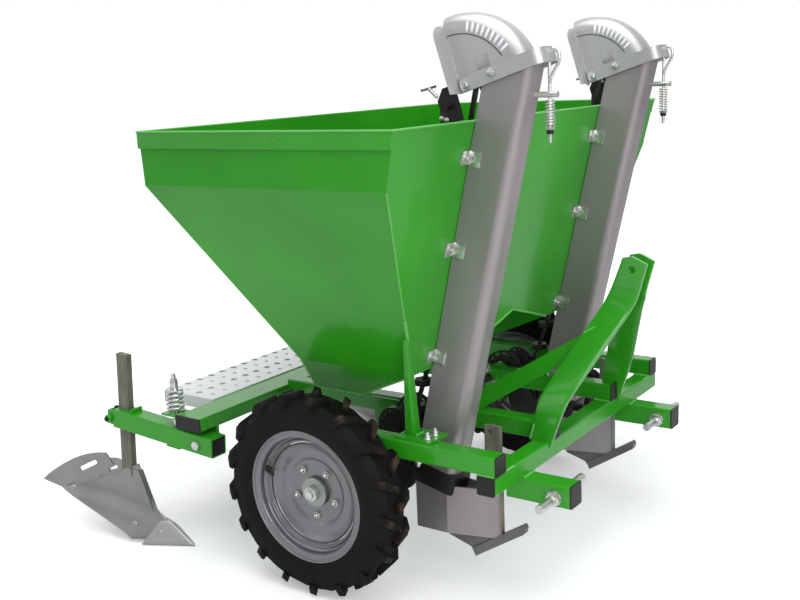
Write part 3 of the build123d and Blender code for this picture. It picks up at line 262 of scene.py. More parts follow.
@dataclass(frozen=True)
class GreenEnamel:
    """Glossy green enamel with a little orange peel."""

    name: str = "green_enamel"
    deep: tuple = (0.020, 0.245, 0.008, 1.0)
    fresh: tuple = (0.030, 0.330, 0.011, 1.0)
    gloss: float = 0.20
    coat: float = 0.2

    def build(self) -> bpy.types.Material:
        """Build the paint.

        Returns:
            The material.
        """
        paint = Shader(self.name)
        cloud = paint.noise(2.2, 2.0)
        peel = paint.noise(260.0, 2.0)
        colour = paint.blend(paint.ramp(cloud, 0.3, 0.7), self.deep, self.fresh)
        rough = self.gloss + 0.05 * cloud
        return paint.finish(Base_Color=colour, Roughness=rough, Coat_Weight=self.coat, Coat_Roughness=0.06,
                            Specular_IOR_Level=0.35, Normal=paint.bump(peel, 0.04, 0.0004))


@dataclass(frozen=True)
class SilverPaint:
    """Satin silver-grey paint with faint streaks down its length."""

    name: str = "silver_satin"
    light: tuple = (0.36, 0.325, 0.335, 1.0)
    dark: tuple = (0.29, 0.262, 0.270, 1.0)
    metal: float = 0.55
    gloss: float = 0.34

    def build(self) -> bpy.types.Material:
        """Build the paint.

        Returns:
            The material.
        """
        paint = Shader(self.name)
        streak = paint.noise(3.0, 2.0, (2.5, 2.5, 0.6))
        grain = paint.noise(420.0, 2.0)
        colour = paint.blend(paint.ramp(streak, 0.25, 0.75), self.light, self.dark)
        rough = self.gloss + 0.06 * streak
        return paint.finish(Base_Color=colour, Roughness=rough, Metallic=self.metal,
                            Normal=paint.bump(grain, 0.05, 0.0003))


@dataclass(frozen=True)
class ZincPlate:
    """Bright zinc plating with a faint warm bloom."""

    def build(self) -> bpy.types.Material:
        """Build the plating.

        Returns:
            The material.
        """
        plate = Shader("zinc_plate")
        bloom = plate.noise(60.0, 3.0)
        colour = plate.blend(plate.ramp(bloom, 0.35, 0.75), (0.70, 0.71, 0.72, 1.0), (0.58, 0.57, 0.50, 1.0))
        return plate.finish(Base_Color=colour, Roughness=0.18 + 0.22 * bloom, Metallic=0.95)


@dataclass(frozen=True)
class BlackPlastic:
    """Matt black moulded plastic with a fine grain."""

    def build(self) -> bpy.types.Material:
        """Build the plastic.

        Returns:
            The material.
        """
        plastic = Shader("black_moulded")
        grain = plastic.noise(700.0, 2.0)
        cloud = plastic.noise(24.0, 3.0)
        colour = plastic.blend(cloud, (0.006, 0.0055, 0.0055, 1.0), (0.016, 0.013, 0.012, 1.0))
        return plastic.finish(Base_Color=colour, Roughness=0.38 + 0.12 * cloud, Specular_IOR_Level=0.35,
                              Normal=plastic.bump(grain, 0.12, 0.0003))


@dataclass(frozen=True)
class TyreRubber:
    """Black tyre rubber, a little paler where it has bloomed, with dusty lugs."""

    dark: tuple = (0.0030, 0.0026, 0.0028, 1.0)
    bloomed: tuple = (0.0080, 0.0062, 0.0058, 1.0)
    dust: tuple = (0.060, 0.040, 0.026, 1.0)

    def build(self) -> bpy.types.Material:
        """Build the rubber.

        Returns:
            The material.
        """
        rubber = Shader("tyre_rubber_worn")
        bloom = rubber.noise(14.0, 5.0)
        spot = rubber.node("ShaderNodeSeparateXYZ", {}, {0: rubber.place()})
        ahead = Value(rubber, spot.socket.node.outputs["X"]) - AXLE_X
        above = Value(rubber, spot.socket.node.outputs["Z"]) - AXLE_Z
        reach = (ahead.power(2.0) + above.power(2.0)).power(0.5)
        dusty = rubber.ramp(reach, 0.262, 0.281) * rubber.ramp(rubber.noise(22.0, 3.0), 0.45, 0.7)
        grain = rubber.noise(330.0, 3.0)
        colour = rubber.blend(rubber.ramp(bloom, 0.4, 0.75), self.dark, self.bloomed)
        colour = rubber.blend(dusty, colour, self.dust)
        return rubber.finish(Base_Color=colour, Roughness=0.58 + 0.2 * bloom, Specular_IOR_Level=0.18,
                             Normal=rubber.bump(grain, 0.25, 0.0006))


@dataclass(frozen=True)
class DarkSteel:
    """Oiled dark steel of chains and sprockets."""

    def build(self) -> bpy.types.Material:
        """Build the steel.

        Returns:
            The material.
        """
        steel = Shader("oiled_steel")
        cloud = steel.noise(45.0, 4.0)
        colour = steel.blend(cloud, (0.018, 0.018, 0.019, 1.0), (0.055, 0.050, 0.046, 1.0))
        return steel.finish(Base_Color=colour, Roughness=0.30 + 0.3 * cloud, Metallic=0.6)


@dataclass(frozen=True)
class BareBar:
    """Rolled bar under a dull olive-grey scale."""

    def build(self) -> bpy.types.Material:
        """Build the bar's skin.

        Returns:
            The material.
        """
        bar = Shader("rolled_bar")
        streak = bar.noise(14.0, 5.0, (4.0, 4.0, 0.7))
        pits = bar.noise(170.0, 4.0)
        colour = bar.blend(bar.ramp(streak, 0.3, 0.7), (0.215, 0.205, 0.165, 1.0), (0.120, 0.115, 0.095, 1.0))
        return bar.finish(Base_Color=colour, Roughness=0.42 + 0.2 * pits, Metallic=0.35,
                          Normal=bar.bump(pits, 0.25, 0.0008))


class Palette:
    """All finishes, one material for each look."""

    def __init__(self) -> None:
        """Build every finish once."""
        finishes = {
            Look.GREEN: GreenEnamel(),
            Look.SILVER: SilverPaint(),
            Look.ZINC: ZincPlate(),
            Look.BLACK: BlackPlastic(),
            Look.RUBBER: TyreRubber(),
            Look.RIM: SilverPaint("rim_lacquer", (0.25, 0.25, 0.26, 1.0), (0.19, 0.19, 0.20, 1.0), 0.68, 0.27),
            Look.DARK: DarkSteel(),
            Look.BARE: BareBar(),
            Look.HUB: SilverPaint("hub_zinc", (0.36, 0.38, 0.36, 1.0), (0.28, 0.30, 0.28, 1.0), 0.8, 0.26),
            Look.MAST: GreenEnamel("green_glossy", coat=0.9),
            # Painted highlight: the lighter green stands in for the light caught along welds, seams and rolled
            # edges.
            Look.EDGE: GreenEnamel("green_painted_edge_highlight", (0.085, 0.40, 0.06, 1.0), (0.13, 0.47, 0.10, 1.0)),
            # Painted light: the same silver paint made lighter for the heads, where more light falls than on the
            # tubes lower down.
            Look.HEAD: SilverPaint("head_satin_painted_light", (0.47, 0.465, 0.475, 1.0), (0.41, 0.405, 0.41, 1.0), 0.55, 0.32),
            Look.BRIGHT: SilverPaint("ground_steel", (0.42, 0.41, 0.41, 1.0), (0.36, 0.35, 0.35, 1.0), 0.6, 0.30),
            Look.STEP: SilverPaint("galvanised_sheet", (0.86, 0.86, 0.87, 1.0), (0.78, 0.78, 0.79, 1.0), 0.15,
                                   0.42),
            Look.SHARE: SilverPaint("worn_share", (0.20, 0.19, 0.185, 1.0), (0.14, 0.135, 0.13, 1.0), 0.5, 0.36),
            Look.PLOUGH: SilverPaint("plough_lacquer", (0.33, 0.32, 0.32, 1.0), (0.27, 0.265, 0.26, 1.0), 0.8,
                                     0.30),
        }
        self.by_look = {look: finish.build() for look, finish in finishes.items()}

    def dress_nodes(self) -> None:
        """Give each CAD node its own look, or else the plain look of its slot."""
        plain = {}
        for look in Look:
            plain.setdefault(look.slot, look)
        for row in frame["record"]["subparts"]:
            look = NODE_LOOKS.get(row["node"], plain[row["material_slot"]])
            for holder in bpy.data.objects[row["node"]].material_slots:
                holder.material = self.by_look[look]
            LOG.info("node %s wears %s", row["node"], look.name)


@dataclass
class Studio:
    """The plain pale floor, the soft lights and the camera."""

    azimuth: float = radians(35.167)
    elevation: float = radians(12.165)
    roll: float = radians(-2.509)
    focal_pixels: float = 1061.384
    picture_width: float = 800.0
    stand: tuple = (1.736 + AXLE_X, -2.617, 1.366)
    bright_side: tuple = (-0.575, 0.818, 0.0)
    lamps: tuple = (("top_light", (0.6, -0.6, 4.2), (0.0, 0.0, 0.6), 4.0, 150.0),
                    ("front_light", (4.0, -2.4, 2.4), (0.1, 0.0, 0.6), 3.0, 105.0),
                    ("side_light", (-2.6, -3.6, 2.2), (0.0, 0.0, 0.6), 3.0, 18.0))

    def floor(self) -> None:
        """Lay a wide pale floor that shows white to the camera and keeps a soft shadow, with a painted shadow added:
        its glow to the camera is greyer toward the middle under the machine.
        """
        bpy.ops.mesh.primitive_plane_add(size=60.0, location=(0.0, 0.0, 0.0))
        ground = bpy.context.object
        ground.name = "studio_floor"
        skin = Shader("studio_floor")
        rays = skin.tree.nodes.new("ShaderNodeLightPath")
        seen = Value(skin, rays.outputs["Is Camera Ray"])
        through = Value(skin, rays.outputs["Is Transmission Ray"])
        share = (seen + through).at_most(1.0)
        matte = skin.node("ShaderNodeBsdfDiffuse", {}, {"Color": (0.80, 0.80, 0.80, 1.0)})
        spot = skin.node("ShaderNodeVectorMath", {"operation": "LENGTH"}, {0: skin.place()}, "Value")
        # Painted shadow: the glow the camera sees is grey near the middle, under the machine, and pale further out.
        painted_shadow_glow = skin.blend(skin.ramp(spot, 0.9, 2.6), (0.34, 0.34, 0.34, 1.0), (0.75, 0.75, 0.75, 1.0))
        glow = skin.node("ShaderNodeEmission", {}, {"Color": painted_shadow_glow, "Strength": 1.0})
        both = skin.node("ShaderNodeAddShader", {}, {0: matte, 1: glow})
        mixed = skin.node("ShaderNodeMixShader", {}, {0: share, 1: matte, 2: both})
        skin.tree.links.new(mixed.socket, skin.output.inputs["Surface"])
        ground.data.materials.append(skin.material)

    def world(self) -> None:
        """Light the scene softly from all round, and show white behind it and in gloss on its far side."""
        sky = bpy.data.worlds.new("soft_sky")
        bpy.context.scene.world = sky
        sky.use_nodes = True
        air = Tree(sky.node_tree)
        rays = air.tree.nodes.new("ShaderNodeLightPath")
        soft = air.node("ShaderNodeBackground", {}, {"Color": (0.92, 0.96, 1.0, 1.0), "Strength": 0.45})
        white = air.node("ShaderNodeBackground", {}, {"Color": (1.0, 1.0, 1.0, 1.0), "Strength": 1.0})
        heading = air.node("ShaderNodeTexCoord", {}, {}, "Generated")
        facing = air.node("ShaderNodeVectorMath", {"operation": "DOT_PRODUCT"}, {0: heading, 1: self.bright_side},
                          "Value")
        spread = air.node("ShaderNodeMapRange", {}, {"Value": facing, "From Min": 0.35, "From Max": 0.85})
        gleam = spread * Value(air, rays.outputs["Is Glossy Ray"])
        share = gleam.at_least(Value(air, rays.outputs["Is Camera Ray"]))
        mixed = air.node("ShaderNodeMixShader", {}, {0: share, 1: soft, 2: white})
        end = air.tree.nodes.new("ShaderNodeOutputWorld")
        air.tree.links.new(mixed.socket, end.inputs["Surface"])

    def lamp(self, name: str, place: tuple, aim: tuple, size: float, power: float) -> None:
        """Hang one soft square lamp.

        Args:
            name: The lamp's name.
            place: Where it hangs.
            aim: What it points at.
            size: Its width.
            power: Its power in watts.
        """
        data = bpy.data.lights.new(name, "AREA")
        data.size = size
        data.energy = power
        lamp = bpy.data.objects.new(name, data)
        lamp.location = place
        lamp.rotation_euler = (Vector(aim) - Vector(place)).to_track_quat("-Z", "Y").to_euler()
        bpy.context.scene.collection.objects.link(lamp)

    def camera(self) -> None:
        """Stand the camera where the picture was taken from."""
        azimuth, elevation, roll = self.azimuth, self.elevation, self.roll
        forward = Vector((-sin(azimuth) * cos(elevation), cos(azimuth) * cos(elevation), -sin(elevation)))
        right = Vector((cos(azimuth), sin(azimuth), 0.0))
        up = right.cross(forward)
        level_right = cos(roll) * right + sin(roll) * up
        level_up = -sin(roll) * right + cos(roll) * up
        data = bpy.data.cameras.new("camera")
        data.sensor_width = 36.0
        data.lens = self.focal_pixels / self.picture_width * data.sensor_width
        camera = bpy.data.objects.new("camera", data)
        turn = Matrix((level_right, level_up, -forward)).transposed().to_4x4()
        camera.matrix_world = Matrix.Translation(self.stand) @ turn
        bpy.context.scene.collection.objects.link(camera)
        bpy.context.scene.camera = camera

    def build(self) -> None:
        """Set up the whole studio."""
        self.floor()
        self.world()
        for lamp in self.lamps:
            self.lamp(*lamp)
        self.camera()
        bpy.context.scene.view_settings.view_transform = "Standard"


def at(x: float, y: float, z: float) -> Vector:
    """Turn millimetres from the wheels' axle into metres on the machine."""
    return Vector((x / 1000 + AXLE_X, y / 1000, z / 1000))


def seat(place: Vector, way: tuple | Vector, turn: float = 0.0) -> Matrix:
    """Stand a piece's Z axis along a direction at a place."""
    stand = Vector(way).to_track_quat("Z", "Y").to_matrix().to_4x4()
    return Matrix.Translation(place) @ stand @ Matrix.Rotation(turn, 4, "Z")


@dataclass
class Bench:
    """Shapes pieces from primitives, copies them into place and hands them over."""

    palette: Palette

    @staticmethod
    def only(piece: bpy.types.Object) -> None:
        """Select one piece and make it active.

        Args:
            piece: The piece.
        """
        bpy.ops.object.select_all(action="DESELECT")
        piece.select_set(True)
        bpy.context.view_layer.objects.active = piece

    def modify(self, piece: bpy.types.Object, kind: str, **settings: object) -> bpy.types.Object:
        """Add a modifier and apply it.

        Args:
            piece: The piece.
            kind: The modifier's type.
            settings: Its settings.

        Returns:
            The piece.
        """
        self.only(piece)
        modifier = piece.modifiers.new(kind.lower(), kind)
        for key, value in settings.items():
            setattr(modifier, key, value)
        bpy.ops.object.modifier_apply(modifier=modifier.name)
        return piece

    def soften(self, piece: bpy.types.Object, width: float) -> bpy.types.Object:
        """Round a piece's sharp edges."""
        return self.modify(piece, "BEVEL", width=width, segments=2, limit_method="ANGLE", angle_limit=radians(28))

    def drum(self, sides: int, radius: float, depth: float, edge: float = 0.0) -> bpy.types.Object:
        """Make a prism that stands on its origin.

        Args:
            sides: How many sides.
            radius: Radius to the corners.
            depth: Height.
            edge: Rounding of the edges.

        Returns:
            The prism.
        """
        bpy.ops.mesh.primitive_cylinder_add(vertices=sides, radius=radius, depth=depth, location=(0, 0, 0))
        made = bpy.context.object
        made.data.transform(Matrix.Translation((0, 0, depth / 2)))
        return self.soften(made, edge) if edge else made

    def block(self, size: tuple, edge: float = 0.0) -> bpy.types.Object:
        """Make a block centred on its origin.

        Args:
            size: Its three widths.
            edge: Rounding of the edges.

        Returns:
            The block.
        """
        bpy.ops.mesh.primitive_cube_add(size=1.0, location=(0, 0, 0))
        made = bpy.context.object
        made.data.transform(Matrix.Diagonal((*size, 1.0)))
        return self.soften(made, edge) if edge else made

    def dome(self, radius: float, height: float) -> bpy.types.Object:
        """Make a low dome on its origin.

        Args:
            radius: Radius of its foot.
            height: Height.

        Returns:
            The dome.
        """
        bpy.ops.mesh.primitive_uv_sphere_add(segments=20, ring_count=10, radius=1.0, location=(0, 0, 0))
        made = bpy.context.object
        made.data.transform(Matrix.Diagonal((radius, radius, height, 1.0)))
        return made

    def hoop(self, radius: float, wire: float, fine: int = 36) -> bpy.types.Object:
        """Make a ring flat on its origin."""
        bpy.ops.mesh.primitive_torus_add(major_radius=radius, minor_radius=wire, major_segments=fine,
                                         minor_segments=8, location=(0, 0, 0))
        return bpy.context.object

    def cut(self, piece: bpy.types.Object, test: object) -> bpy.types.Object:
        """Delete the corners of a piece that a test picks.

        Args:
            piece: The piece.
            test: Takes a corner's place and says whether it goes.

        Returns:
            The piece.
        """
        self.only(piece)
        bpy.ops.object.mode_set(mode="EDIT")
        bpy.ops.mesh.select_mode(type="VERT")
        bpy.ops.mesh.select_all(action="DESELECT")
        bpy.ops.object.mode_set(mode="OBJECT")
        for corner in piece.data.vertices:
            corner.select = bool(test(corner.co))
        bpy.ops.object.mode_set(mode="EDIT")
        bpy.ops.mesh.delete(type="VERT")
        bpy.ops.object.mode_set(mode="OBJECT")
        return piece

    def put(self, piece: bpy.types.Object, place: Matrix) -> bpy.types.Object:
        """Move a piece's mesh to its place."""
        piece.data.transform(place)
        return piece

    def join(self, pieces: list) -> bpy.types.Object:
        """Join pieces into one.

        Args:
            pieces: The pieces.

        Returns:
            The joined piece.
        """
        bpy.ops.object.select_all(action="DESELECT")
        for piece in pieces:
            piece.select_set(True)
        bpy.context.view_layer.objects.active = pieces[0]
        bpy.ops.object.join()
        return bpy.context.object

    def level(self, piece: bpy.types.Object, merge: float = 0.0) -> bpy.types.Object:
        """Turn a piece's faces outward.

        Args:
            piece: The piece.
            merge: Corners nearer than this are merged first.

        Returns:
            The piece.
        """
        self.only(piece)
        bpy.ops.object.mode_set(mode="EDIT")
        bpy.ops.mesh.select_all(action="SELECT")
        if merge:
            bpy.ops.mesh.remove_doubles(threshold=merge)
        bpy.ops.mesh.normals_make_consistent(inside=False)
        bpy.ops.object.mode_set(mode="OBJECT")
        return piece

    def sheet(self, across: int, up: int, shape: Callable[[float, float], Vector]) -> bpy.types.Object:
        """Bend a flat grid of faces into a sheet.

        Args:
            across: How many faces lie across it.
            up: How many faces lie up it.
            shape: Gives a corner's point from its places across and up, both from -1 to 1.

        Returns:
            The sheet.
        """
        bpy.ops.mesh.primitive_grid_add(x_subdivisions=across, y_subdivisions=up, size=2.0, location=(0, 0, 0))
        made = bpy.context.object
        for corner in made.data.vertices:
            corner.co = shape(corner.co.x, corner.co.y)
        return made

    def pressed(self, line: tuple, thickness: float, steps: int = 88) -> bpy.types.Object:
        """Turn a pressed sheet round the Z axis, with its corners rounded.

        Args:
            line: One face of the sheet as pairs of radius and height in millimetres.
            thickness: The sheet's thickness in millimetres, to the line's right.
            steps: How many faces stand round the axis.

        Returns:
            The pressing.
        """
        dense = []
        for start, end in zip(line, line[1:]):
            count = max(1, round((Vector(end) - Vector(start)).length / 2.0))
            dense += [Vector(start).lerp(Vector(end), index / count) for index in range(count)]
        dense.append(Vector(line[-1]))
        last = len(dense) - 1
        face = []
        for index in range(last + 1):
            near = [dense[min(max(index + shift, 0), last)] for shift in (-2, -1, 0, 1, 2)]
            face.append(sum(near, Vector((0, 0))) / 5)
        face = face[::2] + ([face[-1]] if last % 2 else [])
        back = []
        for index, point in enumerate(face):
            along = face[min(index + 1, len(face) - 1)] - face[max(index - 1, 0)]
            back.append(point + Vector((along.y, -along.x)).normalized() * thickness)
        loop = face + back[::-1] + face[:1]

        def lay(across: float, up: float) -> Vector:
            """Give one corner of the pressing."""
            turn = pi * (across + 1.0)
            radius, height = loop[round((up + 1.0) / 2.0 * (len(loop) - 1))] / 1000
            return Vector((radius * cos(turn), radius * sin(turn), height))

        return self.level(self.sheet(steps, len(loop) - 1, lay), 0.00005)

    def plate(self, outline: list, thickness: float) -> bpy.types.Object:
        """Cut a flat plate to an outline in its own XY plane, half its thickness to each side.

        Args:
            outline: The corners in millimetres.
            thickness: The plate's thickness in metres.

        Returns:
            The plate.
        """
        bpy.ops.mesh.primitive_circle_add(vertices=len(outline), fill_type="NGON", location=(0, 0, 0))
        made = bpy.context.object
        for corner, (u, v) in zip(made.data.vertices, outline):
            corner.co = (u / 1000, v / 1000, -thickness / 2)
        self.only(made)
        bpy.ops.object.mode_set(mode="EDIT")
        bpy.ops.mesh.select_all(action="SELECT")
        bpy.ops.mesh.extrude_region_move(TRANSFORM_OT_translate={"value": (0.0, 0.0, thickness)})
        bpy.ops.object.mode_set(mode="OBJECT")
        return self.level(made)

    def pierce(self, piece: bpy.types.Object, tool: bpy.types.Object) -> bpy.types.Object:
        """Cut a tool's form out of a piece.

        Args:
            piece: The piece.
            tool: The form to take away, which is used up.

        Returns:
            The piece.
        """
        self.modify(piece, "BOOLEAN", operation="DIFFERENCE", object=tool, solver="EXACT")
        bpy.data.objects.remove(tool)
        return piece

    def stamp(self, pattern: bpy.types.Object, places: list) -> bpy.types.Object:
        """Copy a pattern to every place and join the copies.

        Args:
            pattern: The piece to copy.
            places: The placing matrices.

        Returns:
            The joined copies.
        """
        copies = []
        for place in places:
            twin = pattern.copy()
            twin.data = pattern.data.copy()
            twin.data.transform(place)
            bpy.context.scene.collection.objects.link(twin)
            copies.append(twin)
        bpy.data.objects.remove(pattern)
        return self.join(copies)

    def hex_bolt(self, flats: float, height: float, washer: float, stub: float = 0.0) -> bpy.types.Object:
        """Make a hexagon head or nut on its washer.

        Args:
            flats: Width across flats.
            height: Height of the hexagon.
            washer: The washer's diameter.
            stub: How far a threaded end stands out.

        Returns:
            The bolt, standing on its origin.
        """
        parts = [self.drum(28, washer / 2, 0.0018, 0.0004)]
        parts.append(self.put(self.drum(6, flats / 2 / cos(pi / 6), height, 0.0009),
                              Matrix.Translation((0, 0, 0.0016))))
        if stub:
            parts.append(self.put(self.drum(16, flats * 0.30, stub, 0.0008),
                                  Matrix.Translation((0, 0, height + 0.001))))
            for turn in range(int(stub / 0.0018)):
                parts.append(self.put(self.hoop(flats * 0.30, 0.0006, 16),
                                      Matrix.Translation((0, 0, height + 0.0022 + 0.0018 * turn))))
        return self.join(parts)

    def bead(self, start: Vector, end: Vector, width: float) -> bpy.types.Object:
        """Lay a rippled weld bead between two points.

        Args:
            start: Where it starts.
            end: Where it ends.
            width: Its width.

        Returns:
            The bead.
        """
        way = end - start
        step = width * 0.42
        bpy.ops.mesh.primitive_uv_sphere_add(segments=10, ring_count=6, radius=width / 2, location=(0, 0, 0))
        drop = bpy.context.object
        drop.data.transform(Matrix.Diagonal((1.0, 1.0, 0.62, 1.0)))
        self.modify(drop, "ARRAY", count=max(2, int(way.length / step)), use_relative_offset=False,
                    use_constant_offset=True, constant_offset_displace=(0.0, 0.0, step))
        return self.put(drop, seat(start, way))

    def rod(self, points: list, radius: float) -> bpy.types.Object:
        """Make a round rod through points, with a ball in each bend.

        Args:
            points: The points of its middle line.
            radius: Its radius.

        Returns:
            The rod.
        """
        parts = []
        for first, second in zip(points, points[1:]):
            way = second - first
            parts.append(self.put(self.drum(16, radius, way.length), seat(first, way)))
        for bend in points[1:-1]:
            parts.append(self.put(self.dome(radius, radius), Matrix.Translation(bend)))
        return self.join(parts)

    def settle(self, piece: bpy.types.Object, name: str, body: str, look: Look,
               angle: float = 32.0) -> bpy.types.Object:
        """Name a finished piece, give it its finish and let it ride on its body.

        Args:
            piece: The finished piece.
            name: Its name.
            body: The body that it rides on.
            look: Its finish.
            angle: Edges flatter than this are shaded smooth.

        Returns:
            The piece.
        """
        piece.name = name
        piece.data.name = name
        piece.data.materials.clear()
        piece.data.materials.append(self.palette.by_look[look])
        self.only(piece)
        bpy.ops.object.shade_smooth_by_angle(angle=radians(angle))
        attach(piece, body)
        look.slot
        LOG.info("piece %s rides on %s", name, body)
        return piece


LEAN = radians(13.3)
LEAN_UP = Vector((sin(LEAN), 0.0, cos(LEAN)))
LEAN_OUT = Vector((cos(LEAN), 0.0, -sin(LEAN)))
TILT = radians(17.0)
HEAD_WAY = Vector((cos(TILT), 0.0, sin(TILT)))
HEAD_UP = Vector((-sin(TILT), 0.0, cos(TILT)))


def wall_x(z: float) -> float:
    """Give the leaning front sheet's place along X in millimetres at a height in millimetres."""
    return 416.0 - tan(LEAN) * (1242.0 - z)


def head_at(u: float, v: float, y: float) -> Vector:
    """Give a point of a head, u along its strap and v up from it, in millimetres."""
    return at(384.0, y, 1306.0) + (u * HEAD_WAY + v * HEAD_UP) / 1000


@dataclass
class FrameTrim:
    """Fasteners, welds, step rings and mast legs of the frame, its foot sleeves and the sheet under its step, both
    black as painted shade, with sizes in millimetres.
    """

    bench: Bench
    clip_heights: tuple = (1155.0, 928.0, 645.0)
    step_rows: tuple = ((39.0, 6.4, 5.0), (91.0, 10.4, 0.0), (143.0, 6.4, 5.0), (192.0, 10.4, 0.0))
    mast_edges: tuple = ((366.0, 457.0, 512.0), (500.0, 480.0, 561.0), (740.0, 591.0, 674.0),
                         (847.0, 632.0, 704.0), (861.0, 636.0, 675.0), (865.5, 658.0, 664.0))
    pin_x: float = 604.0
    pin_y: float = 342.0
    pin_z: float = 309.0
    mast_low_bend: float = 500.0
    mast_rise: float = 242.0
    mast_foot_y: float = 217.0
    mast_top_y: float = 26.0

    def mast_edges_at(self, z: float) -> tuple:
        """Read a mast leg's rear and front edges at a height.

        Args:
            z: The height in millimetres.

        Returns:
            The two edges along X in millimetres.
        """
        for low, high in zip(self.mast_edges, self.mast_edges[1:]):
            if z <= high[0]:
                share = (z - low[0]) / (high[0] - low[0])
                return tuple(a + share * (b - a) for a, b in zip(low[1:], high[1:]))
        return self.mast_edges[-1][1:]

    def mast_fold_at(self, z: float) -> float:
        """Give a mast leg's inner face at a height, with its two bends rounded.

        Args:
            z: The height in millimetres.

        Returns:
            The face's distance from the middle in millimetres.
        """
        total = 0.0
        for shift in range(-40, 41, 8):
            share = min(max((z + shift - self.mast_low_bend) / self.mast_rise, 0.0), 1.0)
            total += self.mast_foot_y + share * (self.mast_top_y - self.mast_foot_y)
        return total / 11.0

    def mast_corner(self, heights: list, hand: int, across: float, up: float) -> Vector:
        """Place one corner of a mast leg's inner face.

        Args:
            heights: The heights of its rows in millimetres.
            hand: Which leg it is.
            across: From -1 at the rear edge to 1 at the front edge.
            up: From -1 at the foot to 1 at the top.

        Returns:
            The corner.
        """
        z = heights[round((up + 1.0) / 2.0 * (len(heights) - 1))]
        rear, front = self.mast_edges_at(z)
        return at(rear + (across + 1.0) / 2.0 * (front - rear), hand * self.mast_fold_at(z), z)

    def bolts(self) -> None:
        """Bolt the strut pads, the tube clips and the bearings."""
        bench = self.bench
        small, large = [], []
        for _, side in SIDES:
            for x, y in ((300.0, 448.0), (300.0, 484.0)):
                large.append(seat(at(x, side * y, 447), (0, 0, 1), 0.3))
            large.append(seat(at(278, side * 498, 391), (0, 0, -1), 0.5))
            for z in self.clip_heights:
                for hand in (-1, 1):
                    spot = at(wall_x(z), side * ROW_Y + hand * 64, z) + 0.003 * LEAN_OUT
                    small.append(seat(spot, LEAN_OUT, 0.2 * hand))
            for y in (159.0, 229.0):
                for turn in range(3):
                    angle = radians(90 + 120 * turn)
                    spot = at(111 + 22 * cos(angle), side * y, 416 + 22 * sin(angle))
                    small.append(seat(spot, (0, side * (1 if y > 200 else -1), 0)))
        bolt = bench.hex_bolt(0.017, 0.009, 0.026, 0.008)
        bench.settle(bench.stamp(bolt, large), "pad_bolts", "frame", Look.ZINC)
        bolt = bench.hex_bolt(0.013, 0.006, 0.021, 0.004)
        bench.settle(bench.stamp(bolt, small), "clip_bolts", "frame", Look.ZINC)

    def clips(self) -> None:
        """Fold the angle clips that hold the tubes to the front sheet."""
        bench = self.bench
        wall = bench.soften(bench.block((0.003, 0.036, 0.036)), 0.001)
        bench.put(wall, Matrix.Translation((0.0015, 0.017, 0.0)))
        flank = bench.soften(bench.block((0.036, 0.003, 0.038)), 0.001)
        bench.put(flank, Matrix.Translation((0.018, 0.0015, 0.0)))
        angle = bench.join([wall, flank])
        places = []
        for _, side in SIDES:
            for z in self.clip_heights:
                for hand in (-1, 1):
                    turn = Matrix((LEAN_OUT, Vector((0, hand, 0)), LEAN_UP)).transposed().to_4x4()
                    places.append(Matrix.Translation(at(wall_x(z), side * ROW_Y + hand * 43.5, z)) @ turn)
        clips = bench.stamp(angle, places)
        bench.level(clips)
        bench.settle(clips, "tube_clip_angles", "frame", Look.ZINC)
        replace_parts(clips, "tube_clips")

    def pin_nuts(self) -> None:
        """Put a nut and a drilled end on each side of the lower hitch pins."""
        bench = self.bench
        places = []
        for _, side in SIDES:
            for end in (-1, 1):
                places.append(seat(at(self.pin_x, side * self.pin_y + end * 42, self.pin_z), (0, end, 0), 0.4))
        bench.settle(bench.stamp(bench.drum(6, 0.0205, 0.010, 0.0012), places), "pin_nuts", "frame", Look.ZINC)
        ends = [seat(at(self.pin_x, side * self.pin_y + end * 121.5, self.pin_z), (0, end, 0))
                for _, side in SIDES for end in (-1, 1)]
        eye = bench.join([bench.hoop(0.0075, 0.0022, 24), bench.put(bench.dome(0.0070, 0.0008), Matrix())])
        bench.settle(bench.stamp(eye, ends), "pin_ends", "frame", Look.ZINC)

    def welds(self) -> None:
        """Lay the weld beads where beams, brackets, mast and braces meet."""
        runs = []
        for _, side in SIDES:
            for y in (490.0, 192.0):
                for hand in (-1, 1):
                    edge = side * y + hand * 25.5
                    runs.append((at(464, edge, 391), at(512, edge, 391), 0.007))
            runs.append((at(513, side * 465, 391), at(513, side * 415, 391), 0.006))
            for hand in (-1, 1):
                edge = side * self.pin_y + hand * 30.5
                runs.append((at(464, edge, 341), at(512, edge, 341), 0.007))
            runs.append((at(513, side * 313, 341), at(513, side * 371, 341), 0.007))
            runs.append((at(458, side * 227.5, 394), at(470, side * 227.5, 438), 0.007))
            runs.append((at(205, side * 197, 441), at(284, side * 197, 441), 0.007))
            runs.append((at(-397, side * 167, 424), at(-397, side * 217, 424), 0.008))
            for x in (220.0, 262.0):
                runs.append((at(x, side * 447, 448), at(x, side * 481, 448), 0.006))
            runs.append((at(556, side * 97, 664), at(584, side * 83, 682), 0.008))
        beads = [self.bench.bead(*run) for run in runs]
        # The beads are real welds; their lighter green is a painted highlight.
        self.bench.settle(self.bench.join(beads), "frame_welds", "frame", Look.EDGE, 60.0)

    def step_rings(self) -> None:
        """Raise a pressed collar round every hole of the step."""
        bench = self.bench
        for row, (behind, radius, shift) in enumerate(self.step_rows):
            places = [Matrix.Translation(at(-494 - behind, shift + 52.0 * index, 427.0)) for index in range(-8, 9)]
            collar = bench.hoop(radius / 1000 + 0.0008, 0.0016, 24)
            bench.settle(bench.stamp(collar, places), f"step_collars_{row + 1}", "frame", Look.STEP)

